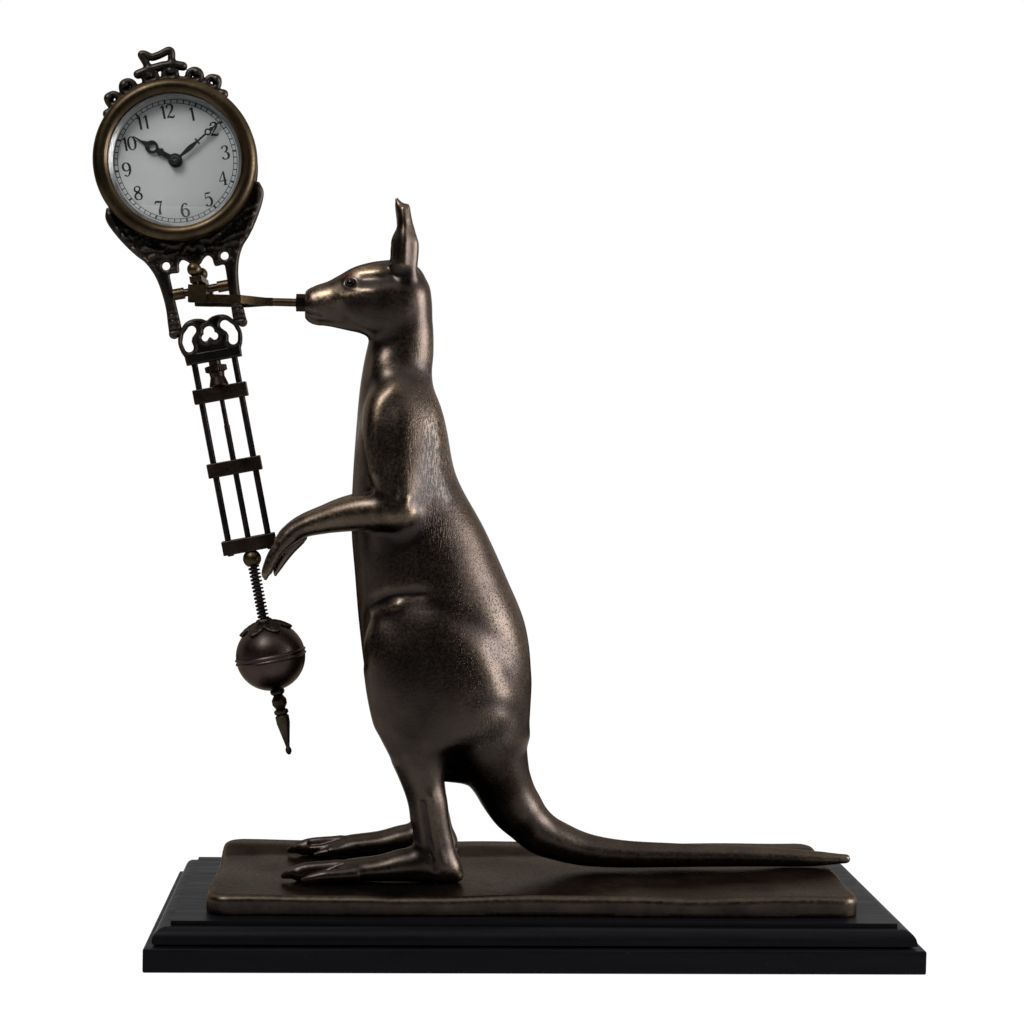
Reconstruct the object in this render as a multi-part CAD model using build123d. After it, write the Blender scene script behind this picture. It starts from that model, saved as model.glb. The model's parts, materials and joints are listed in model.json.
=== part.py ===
from build123d import *
import math
import os

# A swinging mystery clock: a bronze kangaroo on a wood base holds a fork at its nose, and a compound
# pendulum with the clock above its pivot and a ball below it swings in that fork.
# Millimetres, +Z up, the animal faces -X. The origin is the centre of the base's underside.

# Clearances
FIT = 0.05            # round and flat seats inside one assembly
RUN = 0.06            # radial running clearance of arbors, pipes and the rating rod

# Lacquered wood base and felt
BASE_W = 320.0
BASE_D = 135.0
PLINTH_H = 10.2       # top of the lower square slab
QUIRK_H = 1.0
QUIRK_IN = 2.6
OVOLO_H = 6.2
OVOLO_IN = 3.2
OVOLO_R = 5.2
STEP_H = 1.8
STEP_IN = 10.0
ARRIS_R = 0.8         # eased edges of the lower slab
FELT_T = 1.4
FELT_PROUD = 0.4      # felt below the wood
FELT_IN = 7.0

# Bronze ground slab and the screws that hold it
SLAB_W = 274.0
SLAB_D = 100.0
SLAB_T = 8.8
SLAB_CORNER_R = 9.0
SLAB_EDGE_R = 3.0
SCREW_R = 2.0
SCREW_HEAD_R = 4.0
SCREW_HEAD_H = 2.4
SCREW_DEEP = 6.0      # how far a base screw enters the bronze
SCREW_X = 110.0
SCREW_Y = 30.0
BOLT_R = 2.0
BOLT_HEAD_R = 3.6
BOLT_HEAD_H = 2.0
BOLT_DEEP = 8.0       # how far a bolt enters the heel

# Figure, all heights over the ground slab.
# Torso and neck: height, front, back, half width
TORSO = [
    (40, -52, -18, 11),
    (52, -63, -3, 20.5),
    (66, -69, 0, 25),
    (86, -73.5, 0.3, 27.5),
    (108, -76.6, -4, 27),
    (129, -78.7, -12.8, 24.5),
    (150, -80.6, -22.8, 21.5),
    (171, -80.3, -33.9, 19),
    (191, -79.3, -38.7, 17.5),
    (207, -78.2, -43.7, 15),
    (223, -76, -45.4, 12.6),
    (234, -73.9, -45, 12),
    (244, -69, -49, 10),
]
# Thigh and shank: height, front, back, middle of the width, half width
LEG = [
    (122, -60, -46, 15, 5),
    (114, -70, -30, 16.5, 9.5),
    (100, -74.6, -14, 18, 13),
    (84, -73.3, -9, 19, 14.2),
    (68, -68.4, -15, 19.8, 13.4),
    (54, -61.7, -28, 21, 11.6),
    (44, -58, -37.5, 22.6, 9.2),
    (34, -54.8, -38.4, 23.6, 7.8),
    (24, -52.6, -37.4, 24, 7.2),
    (14, -51, -35.6, 24.2, 6.8),
    (6, -50, -34.5, 24.2, 6.4),
]
# Foot, heel to toe: x, top, half width
FOOT = [
    (-32.5, 5.5, 4.2),
    (-37, 12, 6.2),
    (-45, 15, 7),
    (-55, 11.8, 7.2),
    (-66, 8.8, 7.2),
    (-80, 8.2, 6.8),
    (-92, 6.4, 5),
    (-101, 5, 3.2),
    (-106, 3.2, 1.6),
]
FOOT_Y = 24.3
SOLE_GAP = 0.1
HEEL_X = -42.0
# Arm, shoulder to elbow and elbow to claw: x, y, height, half depth, half width
UPPER_ARM = [
    (-66, 13, 206, 8, 6),
    (-65, 17.5, 194, 9.5, 7.6),
    (-64, 20.5, 180, 8.8, 7),
    (-62.5, 22.5, 166, 8, 6.6),
    (-61.5, 23, 158, 6.5, 6),
]
FOREARM = [
    (-57.5, 23.2, 157.5, 4.6, 4.6),
    (-64, 22.6, 157.6, 7, 6.4),
    (-74, 20.8, 157, 7.6, 6.6),
    (-84, 18.6, 154.8, 7.2, 6.2),
    (-93, 16.8, 152.2, 6, 5.6),
    (-101, 15.4, 149.6, 5, 5.4),
    (-106.5, 14.6, 146.4, 4.4, 5.2),
    (-111, 14.2, 140.6, 3.6, 4.8),
    (-114.6, 14, 134, 2.8, 4.2),
    (-116.2, 13.8, 128.8, 1.5, 2.6),
]
# Head, nape to nose: x, height, half depth, half width
HEAD = [
    (-47.2, 246, 7, 7),
    (-51, 249.5, 13, 11),
    (-58, 250.5, 15.4, 13.2),
    (-67, 250.4, 16, 13.8),
    (-76, 249.3, 14.4, 12.6),
    (-84, 248, 12.4, 10.6),
    (-92, 247.2, 9.2, 8.4),
    (-98, 246.8, 7.3, 6.8),
    (-102, 246.4, 4.6, 4.4),
]
EAR = [
    (-58.5, 8.2, 258, 4.5, 3.2),
    (-59.5, 9, 266, 6, 3.6),
    (-60.2, 9.4, 276, 5.6, 3.2),
    (-61.4, 9.2, 284, 3.6, 2.4),
    (-62.8, 8.8, 291, 1, 0.9),
]
EYE_X = -82.3
EYE_UP = 6.1          # over the middle of the head
EYE_SINK = 0.8        # middle of the eye under the skin
EYE_R = 2.3
# Tail: x, y, height, half depth, half width
TAIL = [
    (-20, 0, 66, 15, 13),
    (-14, 0, 52, 14, 13),
    (-10.8, 0, 38, 12.6, 12),
    (-3.5, 0, 24.5, 11.4, 10.6),
    (8, 0.4, 14.6, 9.4, 9),
    (23, 1.2, 8.9, 7.4, 7.4),
    (42, 2.4, 6.5, 6.1, 6.4),
    (68, 4, 5.5, 5.2, 5.4),
    (98, 5.6, 4.9, 4.6, 4.6),
    (126, 6.8, 4.5, 3.6, 3.6),
    (142, 7.4, 4.6, 2, 2),
]

# Hanger at the nose
STUD_DROP = 0.2       # axis of the stud under the middle of the nose
ARM_R = 1.75
STUD_DEEP = 12.0
COLLAR_AF = 6.6       # across flats
COLLAR_T = 3.9
FORK_ROOT = 17.0      # from the nose to the crotch of the fork
FORK_SPREAD = 9.5     # length over which the tines part
TINE_Y = 14.0
TINE_W = 3.0
TINE_H = 3.5
PAD_L = 7.6           # cup blocks at the tine ends
PAD_W = 6.0
CUP_DEEP = 1.2
CUP_HALF_ANGLE = 50.0
PIVOT_REACH = 44.8    # pivot in front of the nose
PIVOT_RISE = 4.4      # pivot over the stud's axis

# Pendulum, measured from its pivot along its own axis, as it leans at rest
REST_TILT = 11.5
FRAME_T = 5.2
CLOCK_UP = 55.5       # clock centre above the pivot
RING_W = 2.4          # frame ring round the case
UPRIGHT_IN = 12.0     # inner face of the uprights at the cross bar
UPRIGHT_W = 4.2
WINDOW_TOP = 9.2
FOOT_LOW = -17.2
SHIELD_HOLE_R = 1.7
CREST_T = 4.0
CREST_LOBE_R = 3.7
CREST_HOLE_R = 1.7
CREST_BAND = 1.8      # band under the lobes
CREST_ANGLES = (7.5, 20.5, 32.5)
CREST_END_STEP = 8.0  # last lobe to the end curl, degrees
BOW_TOP = 49.2        # over the clock centre
PLATE_T = 4.4
PLATE_TOP = -12.6
PLATE_LOW = -31.0
PLATE_W = 27.6
BAR_R = 1.7           # cross bar
BAR_SPIGOT_R = 1.25
BUSH_R = 2.45
BUSH_L = 4.7
HUB_R = 3.4
HUB_L = 9.0
YOKE_W = 5.0
YOKE_H = 2.6
YOKE_UP = 2.4         # underside of the yoke over the pivot
YOKE_OVER = 2.6       # yoke past the pivot screws
POINT_R = 1.2
POINT_HALF_ANGLE = 20.0
KNOB_R = 3.0
ROD_R = 1.35
ROD_X = 8.7
GRID_W = 23.3
GRID_H = 6.3
GRID_D = 6.0
GRID_EDGE_R = 0.5
GRID_UP = -45.0       # centre heights of the three grid bars
GRID_MID = -77.4
GRID_LOW = -111.4
ROD_RIVET = 0.6       # rod ends stand proud under the lower bar
ROD_SEAT = 4.0        # rod depth in the scroll plate
NECK_ROD_R = 1.05     # thin upper part of the centre rod
NECK_ROD_END = -59.0
CENTRE_ROD_R = 1.25
RATING_ROD_R = 1.4
URN_R = 4.5
BEAD_R = 3.95
BEAD_H = 6.5

# Rating spring
WIRE_R = 0.42
SPRING_R = 2.15       # middle of the wire
SPRING_TURNS = 14
SPRING_LEAD = 0.15    # bead to the first turn

# Ball bob, calyx and finial
BALL_R = 15.0
BALL_Z = -161.2
BALL_FLAT = 0.3       # depth of the flats at the rod
RIDGE_R = 15.5
RIDGE_H = 1.0
CALYX_T = 1.1
CALYX_R = 9.5
CALYX_LOBES = 8
CALYX_NOTCH_R = 1.9
CALYX_NOTCH_OUT = 0.6  # notch centres outside the rim
CALYX_NECK_R = 3.2
CALYX_NECK_H = 1.7    # neck over the top of the ball
FINIAL_L = 29.0
FINIAL_R = 3.2
FINIAL_BORE = 16.0
ROD_IN_FINIAL = 12.0

# Clock case, depths measured back from the bezel's seat on the frame
DRUM_R = 32.0
DRUM_WALL = 1.2
DRUM_FRONT = -2.3
DRUM_BACK = 20.1
RIB_R = 33.4          # rib that seats on the back of the frame
RIB_T = 1.4
BEZEL_R = 34.5
BEZEL_OPEN_R = 28.3
BEZEL_FRONT = -8.0
GLASS_R = 29.4
GLASS_T = 1.1
GLASS_DOME = 3.0
GLASS_FLAT = 1.5      # flat rim under the bezel's lip
SIGHT_R = 26.6
DIAL_FRONT = -0.2
DIAL_T = 0.6
DIAL_HOLE_R = 2.4
FOOT_PIN_R = 0.8
FOOT_PIN_AT = 24.0
PLATE1_FRONT = 3.6
PLATE2_FRONT = 15.6
MOVE_PLATE_T = 1.5
MOVE_PLATE_R = 30.6
PILLAR_R = 1.8
PILLAR_NECK_R = 1.2
PILLAR_AT = 27.0
PILLAR_ANGLES = (-10, 95, 190, 265)
COVER_T = 1.2
COVER_SCREW_R = 0.6
COVER_SCREW_HEAD_R = 1.5
COVER_SCREW_HEAD_H = 0.9
COVER_SCREW_L = 3.0

# Hands
MINUTE_L = 25.5
HOUR_L = 20.5
HAND_T = 0.5
MINUTE_AT = -2.2      # front of the minute hand
HOUR_AT = -1.3
HAND_BOSS_R = 3.0
MINUTE_ANGLE = 59.0   # clockwise from twelve
HOUR_ANGLE = 310.0
HAND_NUT_R = 1.9
HAND_NUT_H = 1.3
HAND_NUT_CAP = 0.4    # closed front of the nut
# Half width and height over the centre, under the tip
MINUTE_BLADE = [
    (0.34, 21.2),
    (0.9, 20.4),
    (0.4, 19.2),
    (0.38, 12.9),
    (0.55, 11.6),
    (1, 9.2),
    (1, 7),
    (0.6, 4),
    (0.55, 2),
]
MINUTE_TIP = 0.25     # half width at the tip
MINUTE_BAR_AT = 12.4
MINUTE_BAR_L = 2.9
MINUTE_BAR_W = 0.8
MINUTE_RING_AT = 18.4
MINUTE_RING_R = 1.5
MINUTE_RING_HOLE_R = 0.85
HOUR_BLADE = [
    (0.38, 16.2),
    (0.9, 14.8),
    (1.4, 13.4),
    (1.4, 9.4),
    (1.1, 8.4),
    (1.75, 7.6),
    (1.75, 6.9),
    (1.05, 6.2),
    (1.3, 2),
]
HOUR_TIP = 0.2
MOON_AT = 11.5
MOON_R = 2.8
MOON_HOLE_AT = 11.1
MOON_HOLE_R = 1.4

# Wheels: tooth form as shares of the module or the pitch
ADDENDUM = 0.7
DEDENDUM = 1.3
TIP_HALF = 0.10
ROOT_HALF = 0.22
ARBOR_R = 0.8
SMALL_ARBOR_R = 0.5
CANNON_R = 1.5
HOUR_PIPE_R = 2.1
WHEEL_T = 0.8
CANNON_TEETH = 12
MINUTE_TEETH = 36
MINUTE_MODULE = 0.4
MINUTE_PINION_TEETH = 10
HOUR_TEETH = 40
MINUTE_WHEEL_ANGLE = 200.0
BARREL_TEETH = 72
CENTRE_PINION_TEETH = 12
BARREL_MODULE = 0.36
BARREL_ANGLE = -50.0
BARREL_DEPTH = 5.6
BARREL_T = 3.6
BARREL_ARBOR_R = 1.0
CENTRE_TEETH = 80
THIRD_PINION_TEETH = 10
CENTRE_MODULE = 0.24
CENTRE_DEPTH = 12.0
THIRD_ANGLE = 120.0
THIRD_TEETH = 80
ESCAPE_PINION_TEETH = 10
THIRD_MODULE = 0.22
THIRD_DEPTH = 9.8
ESCAPE_ANGLE = 150.0
ESCAPE_TEETH = 24
ESCAPE_R = 6.4
ESCAPE_DEPTH = 6.0
ANCHOR_UP = 8.6       # anchor arbor over the escape wheel
ANCHOR_GAP = 0.7
IMPULSE_L = 36.0
IMPULSE_BOB_R = 4.0
IMPULSE_DEPTH = 18.2
IMPULSE_T = 1.1
KEY_SLEEVE_R = 2.0
KEY_SLEEVE_L = 5.4
KEY_WING_W = 15.0
KEY_WING_H = 9.0
KEY_WING_T = 1.6
KNOB_BACK_R = 4.0
KNOB_BACK_L = 4.0
KNOB_FLUTES = 16
FLUTE_R = 0.55
FLUTE_OUT = 0.3       # flute centres outside the knob
BEHIND_GAP = 0.6      # key and knob behind the cover

# Levels and places that follow from the sizes
BASE_TOP = PLINTH_H + QUIRK_H + OVOLO_H + STEP_H
GROUND = BASE_TOP + SLAB_T
NOSE_X = HEAD[-1][0]
STUD_Z = GROUND + HEAD[-1][1] - STUD_DROP
PIVOT = (NOSE_X - PIVOT_REACH, 0, STUD_Z + PIVOT_RISE)
CLOCK_Y = -FRAME_T / 2 - FIT
BALL_TOP = BALL_Z + BALL_R
BALL_LOW = BALL_Z - BALL_R
SPRING_TOP = GRID_LOW - GRID_H / 2 - FIT - BEAD_H - SPRING_LEAD
SPRING_LOW = BALL_TOP + CALYX_NECK_H + FIT
hang = Pos(*PIVOT) * Rot(0, -REST_TILT, 0)
clock = hang * Pos(0, CLOCK_Y, CLOCK_UP)
pieces = {}


def lathe(points):
    """A turned piece about Z from its half outline, given as radius and height."""
    outline = Polyline(*[(r, 0, z) for r, z in points], close=True)
    return revolve(make_face(outline), Axis.Z)


def spun(points):
    """A turned piece about Y from its half outline, given as radius and depth."""
    return revolve(make_face(Polyline(*points, close=True)), Axis.Y)


def upright(sketch, front, back):
    """A flat piece that faces the viewer: the sketch's y becomes Z, and it lies between two depths."""
    return Pos(0, back, 0) * (Rot(90, 0, 0) * extrude(sketch, back - front))


def rod_y(radius, front, back, x=0, z=0):
    """A round bar along Y between two depths."""
    return Pos(x, (front + back) / 2, z) * (Rot(90, 0, 0) * Cylinder(radius, back - front))


def rod_z(radius, low, high, x=0, y=0):
    """A round bar along Z between two heights."""
    return Pos(x, y, (low + high) / 2) * Cylinder(radius, high - low)


def block(x0, x1, y0, y1, z0, z1):
    """A box between two corners."""
    return Pos((x0 + x1) / 2, (y0 + y1) / 2, (z0 + z1) / 2) * Box(x1 - x0, y1 - y0, z1 - z0)


def at_angle(radius, degrees):
    """A point on a circle in the dial's plane."""
    return radius * math.cos(math.radians(degrees)), radius * math.sin(math.radians(degrees))


def mirrored_outline(points):
    """A face from the right half of a symmetric outline, top to bottom."""
    left = [(-x, y) for x, y in reversed(points) if x > 0]
    return make_face(Polyline(*points, *left, close=True))


def mirrored_y(points):
    """A face from the upper half of an outline that is symmetric about X."""
    lower = [(x, -y) for x, y in reversed(points) if y > 0]
    return make_face(Polyline(*points, *lower, close=True))


def limb(stations):
    """A tapering body through ellipses square to its centre line: x, y, z, half depth, half width."""
    centres = [Vector(*s[:3]) for s in stations]
    sections = []
    for i, (_, _, _, depth, width) in enumerate(stations):
        ahead = centres[min(i + 1, len(centres) - 1)]
        behind = centres[max(i - 1, 0)]
        along = (ahead - behind).normalized()
        across = Vector(0, 1, 0) - along * along.Y
        sections.append(Plane(origin=centres[i], x_dir=across, z_dir=along) * Ellipse(width, depth))
    return loft(sections)


def standing(stations, side=1):
    """A standing body through level ellipses: height, front, back, middle of the width, half width."""
    sections = []
    for height, front, back, middle, half in stations:
        centre = Pos((front + back) / 2, side * middle, GROUND + height)
        sections.append(centre * Ellipse((back - front) / 2, half))
    return loft(sections)


def raised(stations, side=1):
    """Stations lifted onto the ground slab and put on one side of the animal."""
    return [(x, side * y, GROUND + z, depth, width) for x, y, z, depth, width in stations]


# Wood base, felt and ground slab
def wood_base():
    def tier(inset, low, high):
        return block(
            inset - BASE_W / 2, BASE_W / 2 - inset, inset - BASE_D / 2, BASE_D / 2 - inset, low, high
        )

    plinth = tier(0, FELT_PROUD, PLINTH_H)
    plinth = fillet(plinth.edges(), ARRIS_R)
    quirk_top = PLINTH_H + QUIRK_H
    ovolo = tier(OVOLO_IN, quirk_top, quirk_top + OVOLO_H)
    ovolo = fillet(ovolo.edges().group_by(Axis.Z)[-1], OVOLO_R)
    base = plinth + tier(QUIRK_IN + OVOLO_IN, PLINTH_H - STEP_H, quirk_top + STEP_H) + ovolo
    base += tier(STEP_IN, quirk_top + OVOLO_H - STEP_H, BASE_TOP)
    base -= tier(FELT_IN - FIT, 0, FELT_T)
    for x, y in SCREW_PLACES:
        base -= rod_z(SCREW_R + FIT, 0, BASE_TOP, x, y)
        base -= rod_z(SCREW_HEAD_R + FIT, 0, FELT_T + SCREW_HEAD_H + FIT, x, y)
    return base


def ground_slab():
    slab = extrude(RectangleRounded(SLAB_W, SLAB_D, SLAB_CORNER_R), SLAB_T)
    slab = fillet(slab.edges().group_by(Axis.Z)[-1], SLAB_EDGE_R)
    slab = Pos(0, 0, BASE_TOP) * slab
    for x, y in SCREW_PLACES:
        slab -= rod_z(SCREW_R + FIT, BASE_TOP, BASE_TOP + SCREW_DEEP + FIT, x, y)
    for side in (-1, 1):
        slab -= rod_z(BOLT_R + FIT, BASE_TOP, GROUND, HEEL_X, side * FOOT_Y)
        slab -= rod_z(BOLT_HEAD_R + FIT, BASE_TOP, BASE_TOP + BOLT_HEAD_H + FIT, HEEL_X, side * FOOT_Y)
    return slab


SCREW_PLACES = [(x, y) for x in (-SCREW_X, SCREW_X) for y in (-SCREW_Y, SCREW_Y)]
pieces["felt_pad"] = block(
    FELT_IN - BASE_W / 2, BASE_W / 2 - FELT_IN, FELT_IN - BASE_D / 2, BASE_D / 2 - FELT_IN, 0, FELT_T
)
pieces["wood_base"] = wood_base()
pieces["base_screws"] = Compound(
    [
        rod_z(SCREW_R, FELT_T, BASE_TOP + SCREW_DEEP, x, y)
        + rod_z(SCREW_HEAD_R, FELT_T, FELT_T + SCREW_HEAD_H, x, y)
        for x, y in SCREW_PLACES
    ]
)
pieces["ground_slab"] = ground_slab()
pieces["foot_bolts"] = Compound(
    [
        rod_z(BOLT_R, BASE_TOP, GROUND + BOLT_DEEP, HEEL_X, side * FOOT_Y)
        + rod_z(BOLT_HEAD_R, BASE_TOP, BASE_TOP + BOLT_HEAD_H, HEEL_X, side * FOOT_Y)
        for side in (-1, 1)
    ]
)


# Figure: each casting is cut by the larger one that it is brazed to
def leg(side):
    shank = standing(LEG, side)
    foot = limb(
        [
            (x, side * FOOT_Y, GROUND + SOLE_GAP + top / 2, top / 2, half)
            for x, top, half in FOOT
        ]
    )
    bolt_hole = rod_z(BOLT_R + FIT, GROUND, GROUND + BOLT_DEEP + FIT, HEEL_X, side * FOOT_Y)
    return shank + foot - bolt_hole


def arm(side):
    return limb(raised(UPPER_ARM, side)) + limb(raised(FOREARM, side))


def head_at(x):
    """Middle height, half depth and half width of the head at a place between nape and nose."""
    for (x0, *behind), (x1, *ahead) in zip(HEAD, HEAD[1:]):
        if x1 <= x <= x0:
            share = (x - x0) / (x1 - x0)
            return [a + share * (b - a) for a, b in zip(behind, ahead)]


def eye(side, radius):
    middle, depth, half = head_at(EYE_X)
    skin = half * math.sqrt(1 - (EYE_UP / depth) ** 2)
    return Pos(EYE_X, side * (skin - EYE_SINK), GROUND + middle + EYE_UP) * Sphere(radius)


torso = standing([(height, front, back, 0, half) for height, front, back, half in TORSO])
head = limb([(x, 0, GROUND + height, depth, half) for x, height, depth, half in HEAD]) - torso
head -= block(NOSE_X - COLLAR_AF, NOSE_X, -COLLAR_AF, COLLAR_AF, GROUND, 2 * STUD_Z)
stud_hole = Pos(NOSE_X + STUD_DEEP / 2, 0, STUD_Z) * (
    Rot(0, 90, 0) * Cylinder(ARM_R + FIT, STUD_DEEP + 2 * FIT)
)
legs = {side: leg(side) - torso for side in (-1, 1)}
pieces["torso"] = torso
pieces["head"] = head - stud_hole - eye(-1, EYE_R + FIT) - eye(1, EYE_R + FIT)
pieces["eyes"] = Compound([eye(side, EYE_R) for side in (-1, 1)])
for side, name in ((-1, "left"), (1, "right")):
    pieces[name + "_ear"] = limb(raised(EAR, side)) - head
    pieces[name + "_arm"] = arm(side) - torso
    pieces[name + "_leg"] = legs[side]
pieces["tail"] = limb(raised(TAIL)) - torso - legs[-1] - legs[1]


# Hanger: a stud in the nose, a collar and a fork whose tines carry two cups
def hanger_fork():
    root = NOSE_X - FORK_ROOT
    outer = TINE_Y + TINE_W / 2
    inner = TINE_Y - TINE_W / 2
    outline = mirrored_y(
        [
            (root + TINE_W, ARM_R),
            (root, ARM_R),
            (root - FORK_SPREAD, outer),
            (PIVOT[0], outer),
            (PIVOT[0], inner),
            (root - FORK_SPREAD - TINE_W / 3, inner),
            (root - TINE_W, 0),
        ]
    )
    fork = Pos(0, 0, STUD_Z - TINE_H / 2) * extrude(outline, TINE_H)
    stem_end = NOSE_X + STUD_DEEP
    stem_l = stem_end - root
    fork += Pos(stem_end - stem_l / 2, 0, STUD_Z) * (Rot(0, 90, 0) * Cylinder(ARM_R, stem_l))
    cup_top = PIVOT[2] + CUP_DEEP
    cup_r = CUP_DEEP * math.tan(math.radians(CUP_HALF_ANGLE))
    for side in (-1, 1):
        y = side * TINE_Y
        fork += block(
            PIVOT[0] - PAD_L / 2, PIVOT[0] + PAD_L / 2, y - PAD_W / 2, y + PAD_W / 2,
            STUD_Z - TINE_H / 2, cup_top,
        )
        fork -= Pos(PIVOT[0], y, cup_top - CUP_DEEP / 2) * Cone(0, cup_r, CUP_DEEP)
    return fork


collar = extrude(RegularPolygon(COLLAR_AF / 2, 6, major_radius=False) - Circle(ARM_R + FIT), COLLAR_T)
pieces["hanger_collar"] = Pos(NOSE_X - FIT - COLLAR_T, 0, STUD_Z) * (Rot(0, 90, 0) * collar)
pieces["hanger_fork"] = hanger_fork()


# Pendulum frame: ring round the case, shield, uprights, crest and scroll plate
def clock_frame():
    ring_r = DRUM_R + RING_W
    upright_out = UPRIGHT_IN + UPRIGHT_W
    right = Spline(
        (ring_r * 0.97, CLOCK_UP - ring_r * 0.45),
        (ring_r * 0.62, CLOCK_UP - ring_r * 1.15),
        (upright_out + 1.2, WINDOW_TOP),
        (upright_out - 0.4, -4),
        (upright_out + 0.3, FOOT_LOW + 4),
    )
    inside = Polyline(
        right @ 1,
        (upright_out - 1.2, FOOT_LOW),
        (UPRIGHT_IN, FOOT_LOW),
        (UPRIGHT_IN - 0.9, FOOT_LOW + 1.6),
        (UPRIGHT_IN - 0.9, PLATE_TOP - 1),
        (UPRIGHT_IN, PLATE_TOP + 8),
        (UPRIGHT_IN, WINDOW_TOP - 1.4),
        (UPRIGHT_IN - 1.2, WINDOW_TOP),
        (UPRIGHT_IN - 4.4, WINDOW_TOP),
        (UPRIGHT_IN - 5.2, WINDOW_TOP + 3.6),
        (UPRIGHT_IN - 8, WINDOW_TOP + 4.2),
        (UPRIGHT_IN - 10.4, WINDOW_TOP + 1.6),
        (0, WINDOW_TOP + 1),
    )
    close = Polyline(inside @ 1, (0, CLOCK_UP), right @ 0)
    half = make_face([right, inside, close])
    plate = half + mirror(half, Plane.YZ) + Pos(0, CLOCK_UP) * Circle(ring_r)
    plate -= Pos(0, CLOCK_UP) * Circle(DRUM_R + FIT)
    for side in (-1, 1):
        plate -= Pos(side * (UPRIGHT_IN + 0.6), WINDOW_TOP + 3.4) * Circle(SHIELD_HOLE_R)
    frame = upright(plate, -FRAME_T / 2, FRAME_T / 2)
    bar_hole = Rot(0, 90, 0) * Cylinder(BAR_SPIGOT_R + FIT, 2 * (UPRIGHT_IN + UPRIGHT_W) - 1.4)
    return frame - bar_hole


def crest():
    seat = DRUM_R + RING_W + FIT
    lobe_at = seat + CREST_LOBE_R * 0.85
    sketch = Sketch()
    for angle in CREST_ANGLES:
        for side in (-1, 1):
            x, y = at_angle(lobe_at, 90 - side * angle)
            sketch += Pos(x, y) * Circle(CREST_LOBE_R)
    end_angle = CREST_ANGLES[-1] + CREST_END_STEP
    for side in (-1, 1):
        x, y = at_angle(seat + CREST_LOBE_R * 0.5, 90 - side * end_angle)
        sketch += Pos(x, y) * Circle(CREST_LOBE_R * 0.55)
    end_x, end_y = at_angle(seat, 90 - end_angle)
    band = Circle(seat + CREST_BAND) & Pos(0, seat) * Rectangle(2 * end_x, 2 * (seat - end_y))
    sketch += band
    bow_low = seat + CREST_LOBE_R
    sketch += mirrored_outline([(7.6, BOW_TOP), (7.6, BOW_TOP - 2.2), (5.4, bow_low), (0, bow_low - 0.6)])
    sketch -= mirrored_outline([(4.7, BOW_TOP - 3), (3.6, bow_low + 2.4), (0, bow_low + 2)])
    for angle in CREST_ANGLES:
        for side in (-1, 1):
            x, y = at_angle(lobe_at, 90 - side * angle)
            sketch -= Pos(x, y) * Circle(CREST_HOLE_R)
    sketch -= Circle(seat)
    return Pos(0, 0, CLOCK_UP) * upright(sketch, -CREST_T / 2, CREST_T / 2)


def scroll_plate():
    half = PLATE_W / 2
    neck = UPRIGHT_IN - 0.9 - FIT
    low_step = PLATE_LOW + 3.6
    sketch = mirrored_outline(
        [
            (0, PLATE_TOP - 0.6),
            (2, PLATE_TOP + 0.4),
            (5.4, PLATE_TOP + 0.8),
            (8.6, PLATE_TOP),
            (neck, PLATE_TOP - 2),
            (neck, FOOT_LOW - FIT),
            (half - 0.9, FOOT_LOW - FIT),
            (half, FOOT_LOW - 3.6),
            (half - 0.4, FOOT_LOW - 7.6),
            (half - 1.4, low_step),
            (half - 1.8, PLATE_LOW),
            (0, PLATE_LOW),
        ]
    )
    for side in (-1, 1):
        sketch -= Pos(side * half * 0.63, PLATE_TOP - 7.4) * (Rot(0, 0, side * 12) * Ellipse(2.1, 4.6))
    sketch -= Pos(0, PLATE_TOP - 7) * Circle(2.9)
    plate = upright(sketch, -PLATE_T / 2, PLATE_T / 2)
    for side in (-1, 1):
        plate -= rod_z(ROD_R + FIT, PLATE_LOW, PLATE_LOW + ROD_SEAT + FIT, side * ROD_X)
    return plate - rod_z(NECK_ROD_R + FIT, PLATE_LOW, PLATE_LOW + ROD_SEAT + FIT)


pieces["clock_frame"] = hang * clock_frame()
pieces["crest"] = hang * crest()
pieces["scroll_plate"] = hang * scroll_plate()


# Suspension: cross bar, bushes, yoke and the two pointed screws that stand in the fork's cups
def cross_bar():
    bar = Cylinder(BAR_R, 2 * (UPRIGHT_IN - FIT))
    spigot = Cylinder(BAR_SPIGOT_R, 2 * (UPRIGHT_IN + UPRIGHT_W) - 2)
    return Rot(0, 90, 0) * (bar + spigot)


def suspension_yoke():
    yoke_l = TINE_Y + YOKE_OVER
    yoke = rod_y(HUB_R, -HUB_L / 2, HUB_L / 2)
    yoke += block(-YOKE_W / 2, YOKE_W / 2, -yoke_l, yoke_l, YOKE_UP, YOKE_UP + YOKE_H)
    yoke -= Rot(0, 90, 0) * Cylinder(BAR_R + FIT, 3 * HUB_R)
    for side in (-1, 1):
        yoke -= rod_z(POINT_R + FIT, YOKE_UP, YOKE_UP + YOKE_H, 0, side * TINE_Y)
    return yoke


def pivot_screw(y):
    point_top = FIT + POINT_R / math.tan(math.radians(POINT_HALF_ANGLE))
    knob_low = YOKE_UP + YOKE_H + FIT
    screw = Pos(0, 0, (FIT + point_top) / 2) * Cone(0, POINT_R, point_top - FIT)
    screw += rod_z(POINT_R, point_top, knob_low + KNOB_R)
    knob = Pos(0, 0, knob_low + KNOB_R * 0.95) * Sphere(KNOB_R)
    knob -= block(-KNOB_R, KNOB_R, -KNOB_R, KNOB_R, knob_low - KNOB_R, knob_low)
    return Pos(0, y, 0) * (screw + knob)


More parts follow.
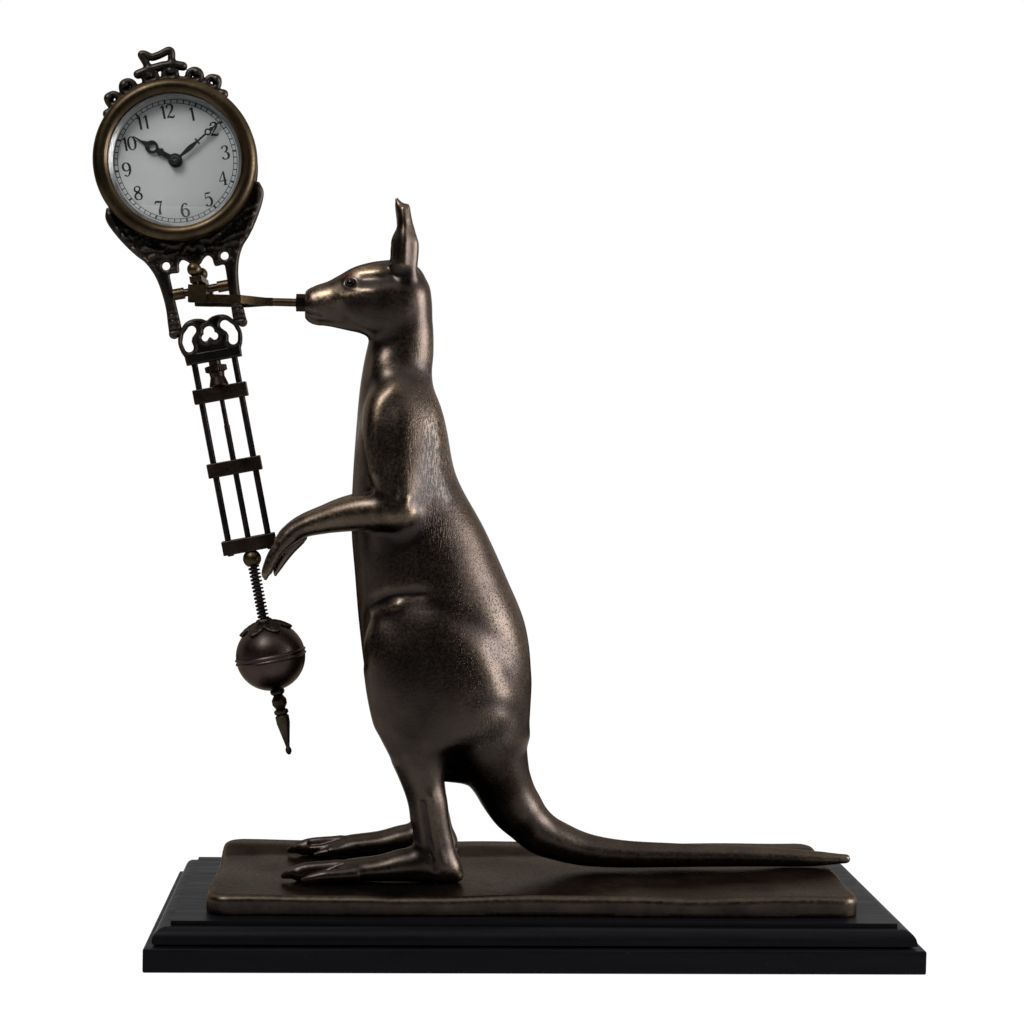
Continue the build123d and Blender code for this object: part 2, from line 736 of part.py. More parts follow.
bush = Rot(0, 90, 0) * (Cylinder(BUSH_R, BUSH_L) - Cylinder(BAR_R + FIT, BUSH_L))
bush_x = UPRIGHT_IN - FIT - BUSH_L / 2
pieces["cross_bar"] = hang * cross_bar()
pieces["bar_bushes"] = Compound([hang * Pos(side * bush_x, 0, 0) * bush for side in (-1, 1)])
pieces["suspension_yoke"] = hang * suspension_yoke()
pieces["pivot_screws"] = Compound([hang * pivot_screw(side * TINE_Y) for side in (-1, 1)])


# Gridiron: rods, bars, urn nut and bead nut
def grid_bar(height, centre_r):
    bar = Pos(0, 0, height) * Box(GRID_W, GRID_D, GRID_H)
    bar = fillet(bar.edges(), GRID_EDGE_R)
    for side in (-1, 1):
        bar -= rod_z(ROD_R + FIT, height - GRID_H, height + GRID_H, side * ROD_X)
    return bar - rod_z(centre_r + FIT, height - GRID_H, height + GRID_H)


def urn_nut():
    low = GRID_UP + GRID_H / 2 + FIT
    top = PLATE_LOW - FIT
    bore = NECK_ROD_R + FIT
    return lathe(
        [
            (bore, top),
            (URN_R - 1.9, top),
            (URN_R - 1.9, top - 1.6),
            (URN_R, top - 2),
            (URN_R, top - 4.4),
            (URN_R - 1.2, top - 4.9),
            (URN_R - 1.4, (top + low) / 2 - 1.4),
            (URN_R - 0.4, low + 0.6),
            (URN_R - 0.4, low),
            (bore, low),
        ]
    )


def bead_nut():
    top = GRID_LOW - GRID_H / 2 - FIT
    bead = Pos(0, 0, top - BEAD_H / 2) * Sphere(BEAD_R)
    bead &= rod_z(BEAD_R, top - BEAD_H, top)
    return bead - rod_z(RATING_ROD_R + FIT, top - BEAD_H, top)


def centre_rod():
    low = BALL_LOW - ROD_IN_FINIAL
    lower_bar = GRID_LOW - GRID_H / 2
    rod = rod_z(NECK_ROD_R, NECK_ROD_END, PLATE_LOW + ROD_SEAT)
    rod += rod_z(CENTRE_ROD_R, lower_bar, NECK_ROD_END)
    return rod + rod_z(RATING_ROD_R, low, lower_bar)


for side, name in ((-1, "left_rod"), (1, "right_rod")):
    rod_low = GRID_LOW - GRID_H / 2 - ROD_RIVET
    pieces[name] = hang * rod_z(ROD_R, rod_low, PLATE_LOW + ROD_SEAT, side * ROD_X)
pieces["upper_bar"] = hang * grid_bar(GRID_UP, NECK_ROD_R)
pieces["middle_bar"] = hang * grid_bar(GRID_MID, CENTRE_ROD_R)
pieces["lower_bar"] = hang * grid_bar(GRID_LOW, CENTRE_ROD_R)
pieces["urn_nut"] = hang * urn_nut()
pieces["centre_rod"] = hang * centre_rod()
pieces["bead_nut"] = hang * bead_nut()


# Rating spring: a helix of biarcs, a quarter turn each
def helix_point(turn, pitch, top):
    angle = 2 * math.pi * turn
    point = Vector(SPRING_R * math.cos(angle), SPRING_R * math.sin(angle), top - pitch * turn)
    along = Vector(-SPRING_R * math.sin(angle), SPRING_R * math.cos(angle), -pitch / (2 * math.pi))
    return point, along.normalized()


def biarc(start, start_dir, end, end_dir):
    """Two tangent arcs from one point and direction to another."""
    chord = end - start
    both = start_dir + end_dir
    bend = 2 * (1 - start_dir.dot(end_dir))
    reach = chord.dot(both)
    arm_l = (math.sqrt(reach * reach + bend * chord.dot(chord)) - reach) / bend
    middle = (start + start_dir * arm_l + end - end_dir * arm_l) * 0.5
    first = Edge.make_tangent_arc(start, start_dir, middle)
    second = Edge.make_tangent_arc(middle, first.tangent_at(1), end)
    return [first, second]


def rating_spring():
    top = SPRING_TOP - WIRE_R
    pitch = (top - SPRING_LOW - WIRE_R) / SPRING_TURNS
    steps = [helix_point(i / 4, pitch, top) for i in range(4 * SPRING_TURNS + 1)]
    tail_l = 2 * WIRE_R
    edges = [Edge.make_line(steps[0][0] - steps[0][1] * tail_l, steps[0][0])]
    for (start, start_dir), (end, end_dir) in zip(steps, steps[1:]):
        edges += biarc(start, start_dir, end, end_dir)
    edges.append(Edge.make_line(steps[-1][0], steps[-1][0] + steps[-1][1] * tail_l))
    path = Wire(edges)
    section = Plane(origin=path @ 0, z_dir=path % 0) * Circle(WIRE_R)
    print("spring least gap to itself", round(least_gap(pitch, top), 3))
    return sweep(section, path=path)


def least_gap(pitch, top):
    """The smallest clear gap between two turns, measured on points along the wire."""
    per_turn = 24
    line = [helix_point(i / per_turn, pitch, top)[0] for i in range(per_turn * SPRING_TURNS + 1)]
    gaps = [
        (line[i] - line[j]).length - 2 * WIRE_R
        for i in range(len(line))
        for j in range(i + per_turn // 2, len(line))
    ]
    return min(gaps)


pieces["rating_spring"] = hang * rating_spring()


# Bob: calyx and ball slide on the rod, and the finial is the nut below them
def ball():
    bob = Pos(0, 0, BALL_Z) * Sphere(BALL_R)
    bob += rod_z(RIDGE_R, BALL_Z - RIDGE_H / 2, BALL_Z + RIDGE_H / 2)
    bob -= block(-BALL_R, BALL_R, -BALL_R, BALL_R, BALL_LOW - BALL_R, BALL_LOW + BALL_FLAT)
    bob -= block(-BALL_R, BALL_R, -BALL_R, BALL_R, BALL_TOP - BALL_FLAT, BALL_TOP + BALL_R)
    return bob - rod_z(RATING_ROD_R + RUN, BALL_Z - 2 * BALL_R, BALL_Z + 2 * BALL_R)


def calyx():
    shell = Pos(0, 0, BALL_Z) * (Sphere(BALL_R + FIT + CALYX_T) - Sphere(BALL_R + FIT))
    leaves = Circle(CALYX_R)
    for i in range(CALYX_LOBES):
        x, y = at_angle(CALYX_R + CALYX_NOTCH_OUT, 360 * (i + 0.5) / CALYX_LOBES)
        leaves -= Pos(x, y) * Circle(CALYX_NOTCH_R)
    shell &= Pos(0, 0, BALL_Z) * extrude(leaves, 2 * BALL_R)
    shell += rod_z(CALYX_NECK_R, BALL_TOP + FIT, BALL_TOP + CALYX_NECK_H)
    return shell - rod_z(RATING_ROD_R + RUN, BALL_Z, BALL_TOP + 2 * CALYX_NECK_H)


def finial():
    top = BALL_LOW + BALL_FLAT - FIT
    low = top - FINIAL_L
    r = FINIAL_R
    bore = RATING_ROD_R + RUN
    return lathe(
        [
            (bore, top),
            (r - 0.3, top),
            (r, top - 0.8),
            (r - 0.3, top - 1.8),
            (r - 1.2, top - 2.6),
            (r, top - 4.6),
            (r, top - 6.6),
            (r - 1.2, top - 8.6),
            (r - 0.1, top - 9.4),
            (r - 0.1, top - 10.6),
            (r - 0.9, top - 11.2),
            (r - 0.2, top - 12),
            (r - 0.3, top - 15),
            (0.8, low + 3.4),
            (1.3, low + 2.4),
            (1.3, low + 1.2),
            (0.6, low),
            (0, low),
            (0, top - FINIAL_BORE),
            (bore, top - FINIAL_BORE),
        ]
    )


pieces["calyx"] = hang * calyx()
pieces["ball"] = hang * ball()
pieces["finial"] = hang * finial()


# Clock case: drum, bezel, crystal, sight ring, dial and back cover
def case_drum():
    inner = DRUM_R - DRUM_WALL
    rib = FRAME_T + 2 * FIT
    return spun(
        [
            (inner, DRUM_FRONT),
            (DRUM_R, DRUM_FRONT),
            (DRUM_R, rib),
            (RIB_R, rib),
            (RIB_R, rib + RIB_T),
            (DRUM_R, rib + RIB_T),
            (DRUM_R, DRUM_BACK),
            (inner, DRUM_BACK),
        ]
    )


def bezel():
    sleeve = DRUM_R + FIT
    rebate = GLASS_R + FIT
    lip = DRUM_FRONT - FIT - GLASS_T - FIT
    rim = Polyline(
        (BEZEL_R - 0.6, 0),
        (sleeve, 0),
        (sleeve, DRUM_FRONT - FIT),
        (rebate, DRUM_FRONT - FIT),
        (rebate, lip),
        (BEZEL_OPEN_R, lip),
        (BEZEL_OPEN_R, lip - 2.6),
        (BEZEL_OPEN_R + 1, BEZEL_FRONT + 1),
    )
    roll = ThreePointArc(rim @ 1, (BEZEL_R - 2.6, BEZEL_FRONT + 0.6), (BEZEL_R, -3))
    edge = ThreePointArc(roll @ 1, (BEZEL_R, -1.4), rim @ 0)
    return revolve(make_face([rim, roll, edge]), Axis.Y)


def crystal():
    back = DRUM_FRONT - FIT
    front = back - GLASS_T
    flat_r = GLASS_R - GLASS_FLAT

    def dome(level):
        """The half arc of the dome that springs from a level at the flat rim."""
        sphere_r = (flat_r * flat_r + GLASS_DOME * GLASS_DOME) / (2 * GLASS_DOME)
        half_r = flat_r / 2
        rise = math.sqrt(sphere_r * sphere_r - half_r * half_r) - (sphere_r - GLASS_DOME)
        return (0, level - GLASS_DOME), (half_r, level - rise), (flat_r, level)

    outer = ThreePointArc(*dome(front))
    rim = Polyline(outer @ 1, (GLASS_R, front), (GLASS_R, back), (flat_r, back))
    inner = ThreePointArc(*reversed(dome(back)))
    axis = Line(inner @ 1, outer @ 0)
    return revolve(make_face([outer, rim, inner, axis]), Axis.Y)


def sight_ring():
    front = DRUM_FRONT
    back = DIAL_FRONT - FIT
    return spun(
        [(GLASS_R, front), (GLASS_R, back), (SIGHT_R, back), (SIGHT_R, back - 0.4), (GLASS_R - 1.2, front)]
    )


def dial():
    disc = rod_y(GLASS_R, DIAL_FRONT, DIAL_BACK) - rod_y(DIAL_HOLE_R, DIAL_FRONT, DIAL_BACK)
    for x in (-FOOT_PIN_AT, FOOT_PIN_AT):
        disc += rod_y(FOOT_PIN_R, DIAL_BACK, PLATE1_FRONT + MOVE_PLATE_T / 2, x)
    return disc


def back_cover():
    cover = rod_y(RIB_R, DRUM_BACK + FIT, COVER_BACK)
    cover -= rod_y(ARBOR_R + RUN, DRUM_BACK, COVER_BACK)
    cover -= rod_y(BARREL_ARBOR_R + RUN, DRUM_BACK, COVER_BACK, *BARREL_AT)
    for x, z in PILLAR_PLACES:
        cover -= rod_y(COVER_SCREW_R + FIT, DRUM_BACK, COVER_BACK, x, z)
    return cover


DIAL_BACK = DIAL_FRONT + DIAL_T
COVER_BACK = DRUM_BACK + FIT + COVER_T
PILLAR_PLACES = [at_angle(PILLAR_AT, a) for a in PILLAR_ANGLES]
BARREL_AT = at_angle((BARREL_TEETH + CENTRE_PINION_TEETH) * BARREL_MODULE / 2, BARREL_ANGLE)
THIRD_AT = at_angle((CENTRE_TEETH + THIRD_PINION_TEETH) * CENTRE_MODULE / 2, THIRD_ANGLE)
ESCAPE_OFF = at_angle((THIRD_TEETH + ESCAPE_PINION_TEETH) * THIRD_MODULE / 2, ESCAPE_ANGLE)
ESCAPE_AT = (THIRD_AT[0] + ESCAPE_OFF[0], THIRD_AT[1] + ESCAPE_OFF[1])
ANCHOR_AT = (ESCAPE_AT[0], ESCAPE_AT[1] + ANCHOR_UP)
MOTION_GAP = (CANNON_TEETH + MINUTE_TEETH) * MINUTE_MODULE / 2
MINUTE_AT_XZ = at_angle(MOTION_GAP, MINUTE_WHEEL_ANGLE)
HOUR_MODULE = 2 * MOTION_GAP / (MINUTE_PINION_TEETH + HOUR_TEETH)
pieces["case_drum"] = clock * case_drum()
pieces["bezel"] = clock * bezel()
pieces["crystal"] = clock * crystal()
pieces["sight_ring"] = clock * sight_ring()
pieces["dial"] = clock * dial()
pieces["back_cover"] = clock * back_cover()


# Hands: drawn pointing at twelve, then turned to the time shown
def hand(sketch, front, degrees, bore):
    flat = upright(sketch - Circle(bore), front, front + HAND_T)
    return Rot(0, degrees, 0) * flat


def minute_blade():
    blade = mirrored_outline([(MINUTE_TIP, MINUTE_L), *MINUTE_BLADE, (0, 1)]) + Circle(HAND_BOSS_R)
    blade += Pos(0, MINUTE_BAR_AT) * Rectangle(MINUTE_BAR_L, MINUTE_BAR_W)
    return blade + Pos(0, MINUTE_RING_AT) * Circle(MINUTE_RING_R) - Pos(0, MINUTE_RING_AT) * Circle(MINUTE_RING_HOLE_R)


def hour_blade():
    blade = mirrored_outline([(HOUR_TIP, HOUR_L), *HOUR_BLADE, (0, 1)]) + Circle(HAND_BOSS_R)
    return blade + Pos(0, MOON_AT) * Circle(MOON_R) - Pos(0, MOON_HOLE_AT) * Circle(MOON_HOLE_R)


pieces["minute_hand"] = clock * hand(minute_blade(), MINUTE_AT, MINUTE_ANGLE, CANNON_R + FIT)
pieces["hour_hand"] = clock * hand(hour_blade(), HOUR_AT, HOUR_ANGLE, HOUR_PIPE_R + FIT)
nut_back = MINUTE_AT - 2 * FIT
nut_bore = nut_back - HAND_NUT_H + HAND_NUT_CAP
pieces["hand_nut"] = clock * (
    rod_y(HAND_NUT_R, nut_back - HAND_NUT_H, nut_back) - rod_y(ARBOR_R + FIT, nut_bore, nut_back)
)


# Wheels: straight-flanked teeth with ample play, in mesh along the line of their centres
def wheel(teeth, module, phase):
    """A toothed outline with one tooth at the phase angle."""
    pitch = 360 / teeth
    tip = module * (teeth / 2 + ADDENDUM)
    root = module * (teeth / 2 - DEDENDUM)
    points = []
    for i in range(teeth):
        for radius, share in ((root, -ROOT_HALF), (tip, -TIP_HALF), (tip, TIP_HALF), (root, ROOT_HALF)):
            points.append(at_angle(radius, phase + (i + share) * pitch))
    return make_face(Polyline(*points, close=True))


def meshed(teeth, angle):
    """The phase at which a gap of a wheel faces a driver that lies back along an angle."""
    return angle + 180 + 180 / teeth


def place(x, z, part):
    return Pos(x, 0, z) * part


def cannon_pinion():
    low, high = PLATE1_FRONT - 1.3, PLATE1_FRONT - 0.3
    pinion = upright(wheel(CANNON_TEETH, MINUTE_MODULE, MINUTE_WHEEL_ANGLE), low, high)
    pinion += rod_y(CANNON_R, MINUTE_AT - FIT, low)
    return pinion - rod_y(ARBOR_R + FIT, MINUTE_AT - 1, high)


def minute_wheel():
    low, high = PLATE1_FRONT - 1.2, PLATE1_FRONT - 0.4
    flat = upright(wheel(MINUTE_TEETH, MINUTE_MODULE, meshed(MINUTE_TEETH, MINUTE_WHEEL_ANGLE)), low, high)
    flat += upright(wheel(MINUTE_PINION_TEETH, HOUR_MODULE, MINUTE_WHEEL_ANGLE + 180), DIAL_BACK + 0.4, low)
    flat += rod_y(SMALL_ARBOR_R, high, PLATE1_FRONT + MOVE_PLATE_T)
    return place(*MINUTE_AT_XZ, flat)


def hour_wheel():
    low = DIAL_BACK + 0.5
    flat = upright(wheel(HOUR_TEETH, HOUR_MODULE, MINUTE_WHEEL_ANGLE + 180 / HOUR_TEETH), low, low + WHEEL_T)
    flat += rod_y(HOUR_PIPE_R, HOUR_AT - FIT, low)
    return flat - rod_y(CANNON_R + RUN, HOUR_AT - 1, low + WHEEL_T)


def train_wheel(teeth, module, phase, depth, pinion_teeth, pinion_module, pinion_phase, pinion_span):
    """A wheel and its pinion on one arbor between the plates."""
    body = upright(wheel(teeth, module, phase), depth, depth + WHEEL_T)
    body += upright(wheel(pinion_teeth, pinion_module, pinion_phase), *pinion_span)
    return body + rod_y(SMALL_ARBOR_R, PLATE1_FRONT + FIT, PLATE2_FRONT + MOVE_PLATE_T)


def mainspring_barrel():
    teeth = upright(
        wheel(BARREL_TEETH, BARREL_MODULE, meshed(BARREL_TEETH, BARREL_ANGLE)),
        BARREL_DEPTH, BARREL_DEPTH + WHEEL_T,
    )
    drum_r = BARREL_MODULE * (BARREL_TEETH / 2 - 2 * DEDENDUM)
    barrel = teeth + rod_y(drum_r, BARREL_DEPTH, BARREL_DEPTH + BARREL_T)
    barrel -= rod_y(BARREL_ARBOR_R + RUN, BARREL_DEPTH, BARREL_DEPTH + BARREL_T)
    return place(*BARREL_AT, barrel)


def centre_wheel():
    back = COVER_BACK + BEHIND_GAP + KNOB_BACK_L
    body = upright(wheel(CENTRE_TEETH, CENTRE_MODULE, THIRD_ANGLE), CENTRE_DEPTH, CENTRE_DEPTH + WHEEL_T)
    body += upright(
        wheel(CENTRE_PINION_TEETH, BARREL_MODULE, BARREL_ANGLE), BARREL_DEPTH - 0.2, THIRD_DEPTH - 0.8
    )
    return body + rod_y(ARBOR_R, nut_bore + FIT, back)


def third_wheel():
    body = train_wheel(
        THIRD_TEETH, THIRD_MODULE, ESCAPE_ANGLE, THIRD_DEPTH,
        THIRD_PINION_TEETH, CENTRE_MODULE, meshed(THIRD_PINION_TEETH, THIRD_ANGLE),
        (CENTRE_DEPTH - 0.4, CENTRE_DEPTH + WHEEL_T + 0.4),
    )
    return place(*THIRD_AT, body)


def escape_wheel():
    points = []
    for i in range(ESCAPE_TEETH):
        turn = 360 / ESCAPE_TEETH
        points += [at_angle(ESCAPE_R, i * turn), at_angle(ESCAPE_R - 1.4, (i + 0.35) * turn)]
    body = upright(make_face(Polyline(*points, close=True)), ESCAPE_DEPTH, ESCAPE_DEPTH + WHEEL_T)
    body += upright(
        wheel(ESCAPE_PINION_TEETH, THIRD_MODULE, meshed(ESCAPE_PINION_TEETH, ESCAPE_ANGLE)),
        THIRD_DEPTH - 0.4, THIRD_DEPTH + WHEEL_T + 0.4,
    )
    body += rod_y(SMALL_ARBOR_R, PLATE1_FRONT + FIT, PLATE2_FRONT + MOVE_PLATE_T)
    return place(*ESCAPE_AT, body)


def impulse_pendulum():
    """The small pendulum that drives the large one: anchor, arbor, rod and bob in one."""
    reach = ESCAPE_R + ANCHOR_GAP
    x0, y0 = at_angle(reach, 50)
    x1, y1 = at_angle(reach + 1.8, 50)
    anchor = mirrored_outline([(0, 1.4), (x1, y1 - ANCHOR_UP), (x0, y0 - ANCHOR_UP), (0, -0.8)])
    body = upright(anchor + Circle(1.3), ESCAPE_DEPTH, ESCAPE_DEPTH + WHEEL_T)
    body += rod_y(SMALL_ARBOR_R, PLATE1_FRONT + FIT, IMPULSE_DEPTH + IMPULSE_T)
    rod = Pos(0, -IMPULSE_L / 2) * Rectangle(1.2, IMPULSE_L) + Circle(1.3)
    rod += Pos(0, -IMPULSE_L) * Circle(IMPULSE_BOB_R)
    body += upright(rod, IMPULSE_DEPTH, IMPULSE_DEPTH + IMPULSE_T)
    return place(*ANCHOR_AT, body)


pieces["cannon_pinion"] = clock * cannon_pinion()
pieces["minute_wheel"] = clock * minute_wheel()
pieces["hour_wheel"] = clock * hour_wheel()
pieces["mainspring_barrel"] = clock * mainspring_barrel()
pieces["centre_wheel"] = clock * centre_wheel()
pieces["third_wheel"] = clock * third_wheel()
pieces["escape_wheel"] = clock * escape_wheel()
pieces["impulse_pendulum"] = clock * impulse_pendulum()


# Movement plates, pillars and cover screws, then the key and the knob behind the cover
def movement_plate(front, holes):
    plate = rod_y(MOVE_PLATE_R, front, front + MOVE_PLATE_T)
    for radius, (x, z) in holes:
        plate -= rod_y(radius, front, front + MOVE_PLATE_T, x, z)
    return plate


def pillar(x, z):
    body = rod_y(PILLAR_R, PLATE1_FRONT + MOVE_PLATE_T + FIT, PLATE2_FRONT - FIT)
    body += rod_y(PILLAR_NECK_R, PLATE1_FRONT, DRUM_BACK)
    body -= rod_y(COVER_SCREW_R + FIT, DRUM_BACK - COVER_SCREW_L, DRUM_BACK)
    return place(x, z, body)


def cover_screw(x, z):
    body = rod_y(COVER_SCREW_R, DRUM_BACK - COVER_SCREW_L + FIT, COVER_BACK + FIT)
    body += rod_y(COVER_SCREW_HEAD_R, COVER_BACK + FIT, COVER_BACK + FIT + COVER_SCREW_HEAD_H)
    return place(x, z, body)


def winding_key():
    start = COVER_BACK + BEHIND_GAP
    key = rod_y(BARREL_ARBOR_R, PLATE1_FRONT + MOVE_PLATE_T / 2, start)
    key += rod_y(KEY_SLEEVE_R, start, start + KEY_SLEEVE_L)
    wing = RectangleRounded(KEY_WING_W, KEY_WING_T, KEY_WING_T * 0.45)
    key += upright(wing, start + KEY_SLEEVE_L - 1, start + KEY_SLEEVE_L + KEY_WING_H)
    return place(*BARREL_AT, key)


def setting_knob():
    start = COVER_BACK + BEHIND_GAP
    knob = rod_y(KNOB_BACK_R, start, start + KNOB_BACK_L)
    for i in range(KNOB_FLUTES):
        x, z = at_angle(KNOB_BACK_R + FLUTE_OUT, 360 * i / KNOB_FLUTES)
        knob -= rod_y(FLUTE_R, start, start + KNOB_BACK_L, x, z)
    return knob - rod_y(ARBOR_R + FIT, start, start + KNOB_BACK_L)


running = [(SMALL_ARBOR_R + RUN, at) for at in (THIRD_AT, ESCAPE_AT, ANCHOR_AT)]
through = [(ARBOR_R + RUN, (0, 0)), (BARREL_ARBOR_R + RUN, BARREL_AT)]
necks = [(PILLAR_NECK_R + FIT, at) for at in PILLAR_PLACES]
feet = [(FOOT_PIN_R + FIT, (x, 0)) for x in (-FOOT_PIN_AT, FOOT_PIN_AT)]
motion = [(SMALL_ARBOR_R + RUN, MINUTE_AT_XZ)]
pieces["front_plate"] = clock * movement_plate(PLATE1_FRONT, running + through + necks + feet + motion)
pieces["back_plate"] = clock * movement_plate(PLATE2_FRONT, running + through + necks)
pieces["pillars"] = Compound([clock * pillar(x, z) for x, z in PILLAR_PLACES])
pieces["cover_screws"] = Compound([clock * cover_screw(x, z) for x, z in PILLAR_PLACES])
pieces["winding_key"] = clock * winding_key()
pieces["setting_knob"] = clock * setting_knob()

os.makedirs("parts", exist_ok=True)
for name, shape in pieces.items():
    export_step(shape, f"parts/{name}.step")
print(len(pieces), "pieces written")
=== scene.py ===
import json
import math
import bmesh
import bpy
import numpy as np
from mathutils import Matrix, Vector


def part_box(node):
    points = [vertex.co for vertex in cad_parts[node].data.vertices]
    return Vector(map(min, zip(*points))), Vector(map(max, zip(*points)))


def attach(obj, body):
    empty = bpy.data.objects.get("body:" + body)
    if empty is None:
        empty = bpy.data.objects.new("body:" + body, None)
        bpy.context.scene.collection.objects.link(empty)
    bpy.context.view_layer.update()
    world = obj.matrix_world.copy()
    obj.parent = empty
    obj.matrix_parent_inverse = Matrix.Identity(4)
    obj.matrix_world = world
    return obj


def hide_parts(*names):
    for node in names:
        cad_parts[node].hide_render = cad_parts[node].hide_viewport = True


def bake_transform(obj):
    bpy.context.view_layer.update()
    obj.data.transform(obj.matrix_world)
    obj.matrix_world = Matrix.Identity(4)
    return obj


# A bronze kangaroo on a lacquered base holds a fork at its nose, in which a clock and a ball bob swing as
# one pendulum. Sizes below are in millimetres and become metres where a mesh is made. +Z is up, the animal
# faces -X and the dial faces -Y.
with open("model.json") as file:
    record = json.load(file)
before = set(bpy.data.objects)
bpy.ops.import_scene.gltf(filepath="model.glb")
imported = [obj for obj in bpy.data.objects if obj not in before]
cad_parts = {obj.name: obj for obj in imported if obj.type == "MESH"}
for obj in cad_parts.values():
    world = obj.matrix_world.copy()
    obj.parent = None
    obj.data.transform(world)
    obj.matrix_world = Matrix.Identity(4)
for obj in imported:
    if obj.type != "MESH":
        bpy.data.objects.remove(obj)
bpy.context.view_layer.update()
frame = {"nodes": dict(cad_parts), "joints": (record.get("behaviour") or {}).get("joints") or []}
nodes = frame["nodes"]


# Felt pad and the steel screws above it.
# Black pressed felt is glued into a recess under the base, so that it hides the screw heads and saves the
# furniture. The screws and foot bolts are plain turned steel.
def add_node(tree, kind, inputs=None, **settings):
    """A shader or geometry node with its settings, and with its inputs set or linked."""
    made = tree.nodes.new(kind)
    for key, value in settings.items():
        setattr(made, key, value)
    for key, value in (inputs or {}).items():
        if isinstance(value, bpy.types.NodeSocket):
            tree.links.new(value, made.inputs[key])
        else:
            made.inputs[key].default_value = value
    return made


def new_finish(name, **constants):
    """A material with its shader's plain values set: the material, its tree and the shader."""
    finish = bpy.data.materials.new(name)
    finish.use_nodes = True
    shader = finish.node_tree.nodes["Principled BSDF"]
    for key, value in constants.items():
        shader.inputs[key.replace("_", " ")].default_value = value
    return finish, finish.node_tree, shader


def dress(finish, *names):
    """Gives CAD nodes a finish."""
    for name in names:
        nodes[name].data.materials.clear()
        nodes[name].data.materials.append(finish)


def noise_at(tree, scale, detail, stretch=(1, 1, 1), turn=(0, 0, 0)):
    """Noise on the object's own coordinates, with features about one over scale metres long."""
    place = add_node(tree, "ShaderNodeTexCoord").outputs["Object"]
    place = add_node(
        tree, "ShaderNodeMapping", {"Vector": place, "Scale": stretch, "Rotation": turn}
    ).outputs["Vector"]
    return add_node(
        tree, "ShaderNodeTexNoise", {"Vector": place, "Scale": scale, "Detail": detail, "Roughness": 0.6}
    ).outputs["Fac"]


def ramp(tree, value, low, high, start=0.0, end=1.0):
    """A value stretched from one span to another and held at its ends."""
    return add_node(
        tree,
        "ShaderNodeMapRange",
        {"Value": value, "From Min": low, "From Max": high, "To Min": start, "To Max": end},
    ).outputs["Result"]


def mix_colour(tree, share, first, second):
    """Two colours mixed by a share."""
    made = add_node(tree, "ShaderNodeMix", {0: share, 6: first, 7: second}, data_type="RGBA")
    return made.outputs[2]


def reckon(tree, operation, first, second):
    """One step of arithmetic on two values."""
    return add_node(tree, "ShaderNodeMath", {0: first, 1: second}, operation=operation).outputs[0]


def multiply(tree, first, second):
    """Two values multiplied."""
    return reckon(tree, "MULTIPLY", first, second)


def bumped(tree, height, strength, distance, invert=False, **more):
    """A normal raised by a height, over another normal where one is given."""
    inputs = {"Height": height, "Strength": strength, "Distance": distance, **more}
    return add_node(tree, "ShaderNodeBump", inputs, invert=invert).outputs["Normal"]


def feed(tree, node, **sockets):
    """Links outputs to a node's inputs, with _ for a space in an input's name."""
    for key, output in sockets.items():
        tree.links.new(output, node.inputs[key.replace("_", " ")])


def mottled(name, scale, detail, dark, light, rough=None, stretch=(1, 1, 1), **constants):
    """A finish mottled between two tones, and between two roughnesses where they are given."""
    finish, tree, shader = new_finish(name, **constants)
    spots = noise_at(tree, scale, detail, stretch)
    feed(tree, shader, Base_Color=mix_colour(tree, spots, (*dark, 1), (*light, 1)))
    if rough:
        feed(tree, shader, Roughness=ramp(tree, spots, 0, 1, *rough))
    return finish


felt, tree, shader = new_finish("black_felt", Roughness=0.95, Sheen_Weight=0.3, Specular_IOR_Level=0.1)
fibres = noise_at(tree, 2200, 6)
tone = mix_colour(tree, ramp(tree, fibres, 0.35, 0.7), (0.004, 0.004, 0.005, 1), (0.03, 0.03, 0.032, 1))
feed(tree, shader, Base_Color=tone, Normal=bumped(tree, fibres, 0.6, 0.0006))
dress(felt, "felt_pad")
steel = mottled(
    "turned_steel", 900, 3, (0.28, 0.28, 0.29), (0.5, 0.5, 0.5), (0.25, 0.5), (1, 1, 6), Metallic=1.0
)
dress(steel, "base_screws", "foot_bolts")

# Wood base.
# A moulded board in two steps, a square slab below and an ovolo above, shaped on a spindle moulder and
# sprayed with several coats of black lacquer that show a faint grain and dust nibs.
lacquer, tree, shader = new_finish("black_lacquer", Specular_IOR_Level=0.05)
grain = noise_at(tree, 160, 5, (0.12, 1.6, 1.6))
peel = noise_at(tree, 420, 2)
nibs = ramp(tree, noise_at(tree, 700, 1), 0.74, 0.78)
tone = mix_colour(
    tree, ramp(tree, grain, 0.3, 0.8), (0.0022, 0.0022, 0.003, 1), (0.0045, 0.0045, 0.0056, 1)
)
tone = mix_colour(tree, multiply(tree, nibs, 0.03), tone, (0.2, 0.2, 0.2, 1))
relief = reckon(tree, "ADD", peel, multiply(tree, grain, 0.6))
feed(tree, shader, Base_Color=tone, Roughness=ramp(tree, grain, 0.3, 0.75, 0.36, 0.5),
     Normal=bumped(tree, relief, 0.12, 0.0004))
dress(lacquer, "wood_base")


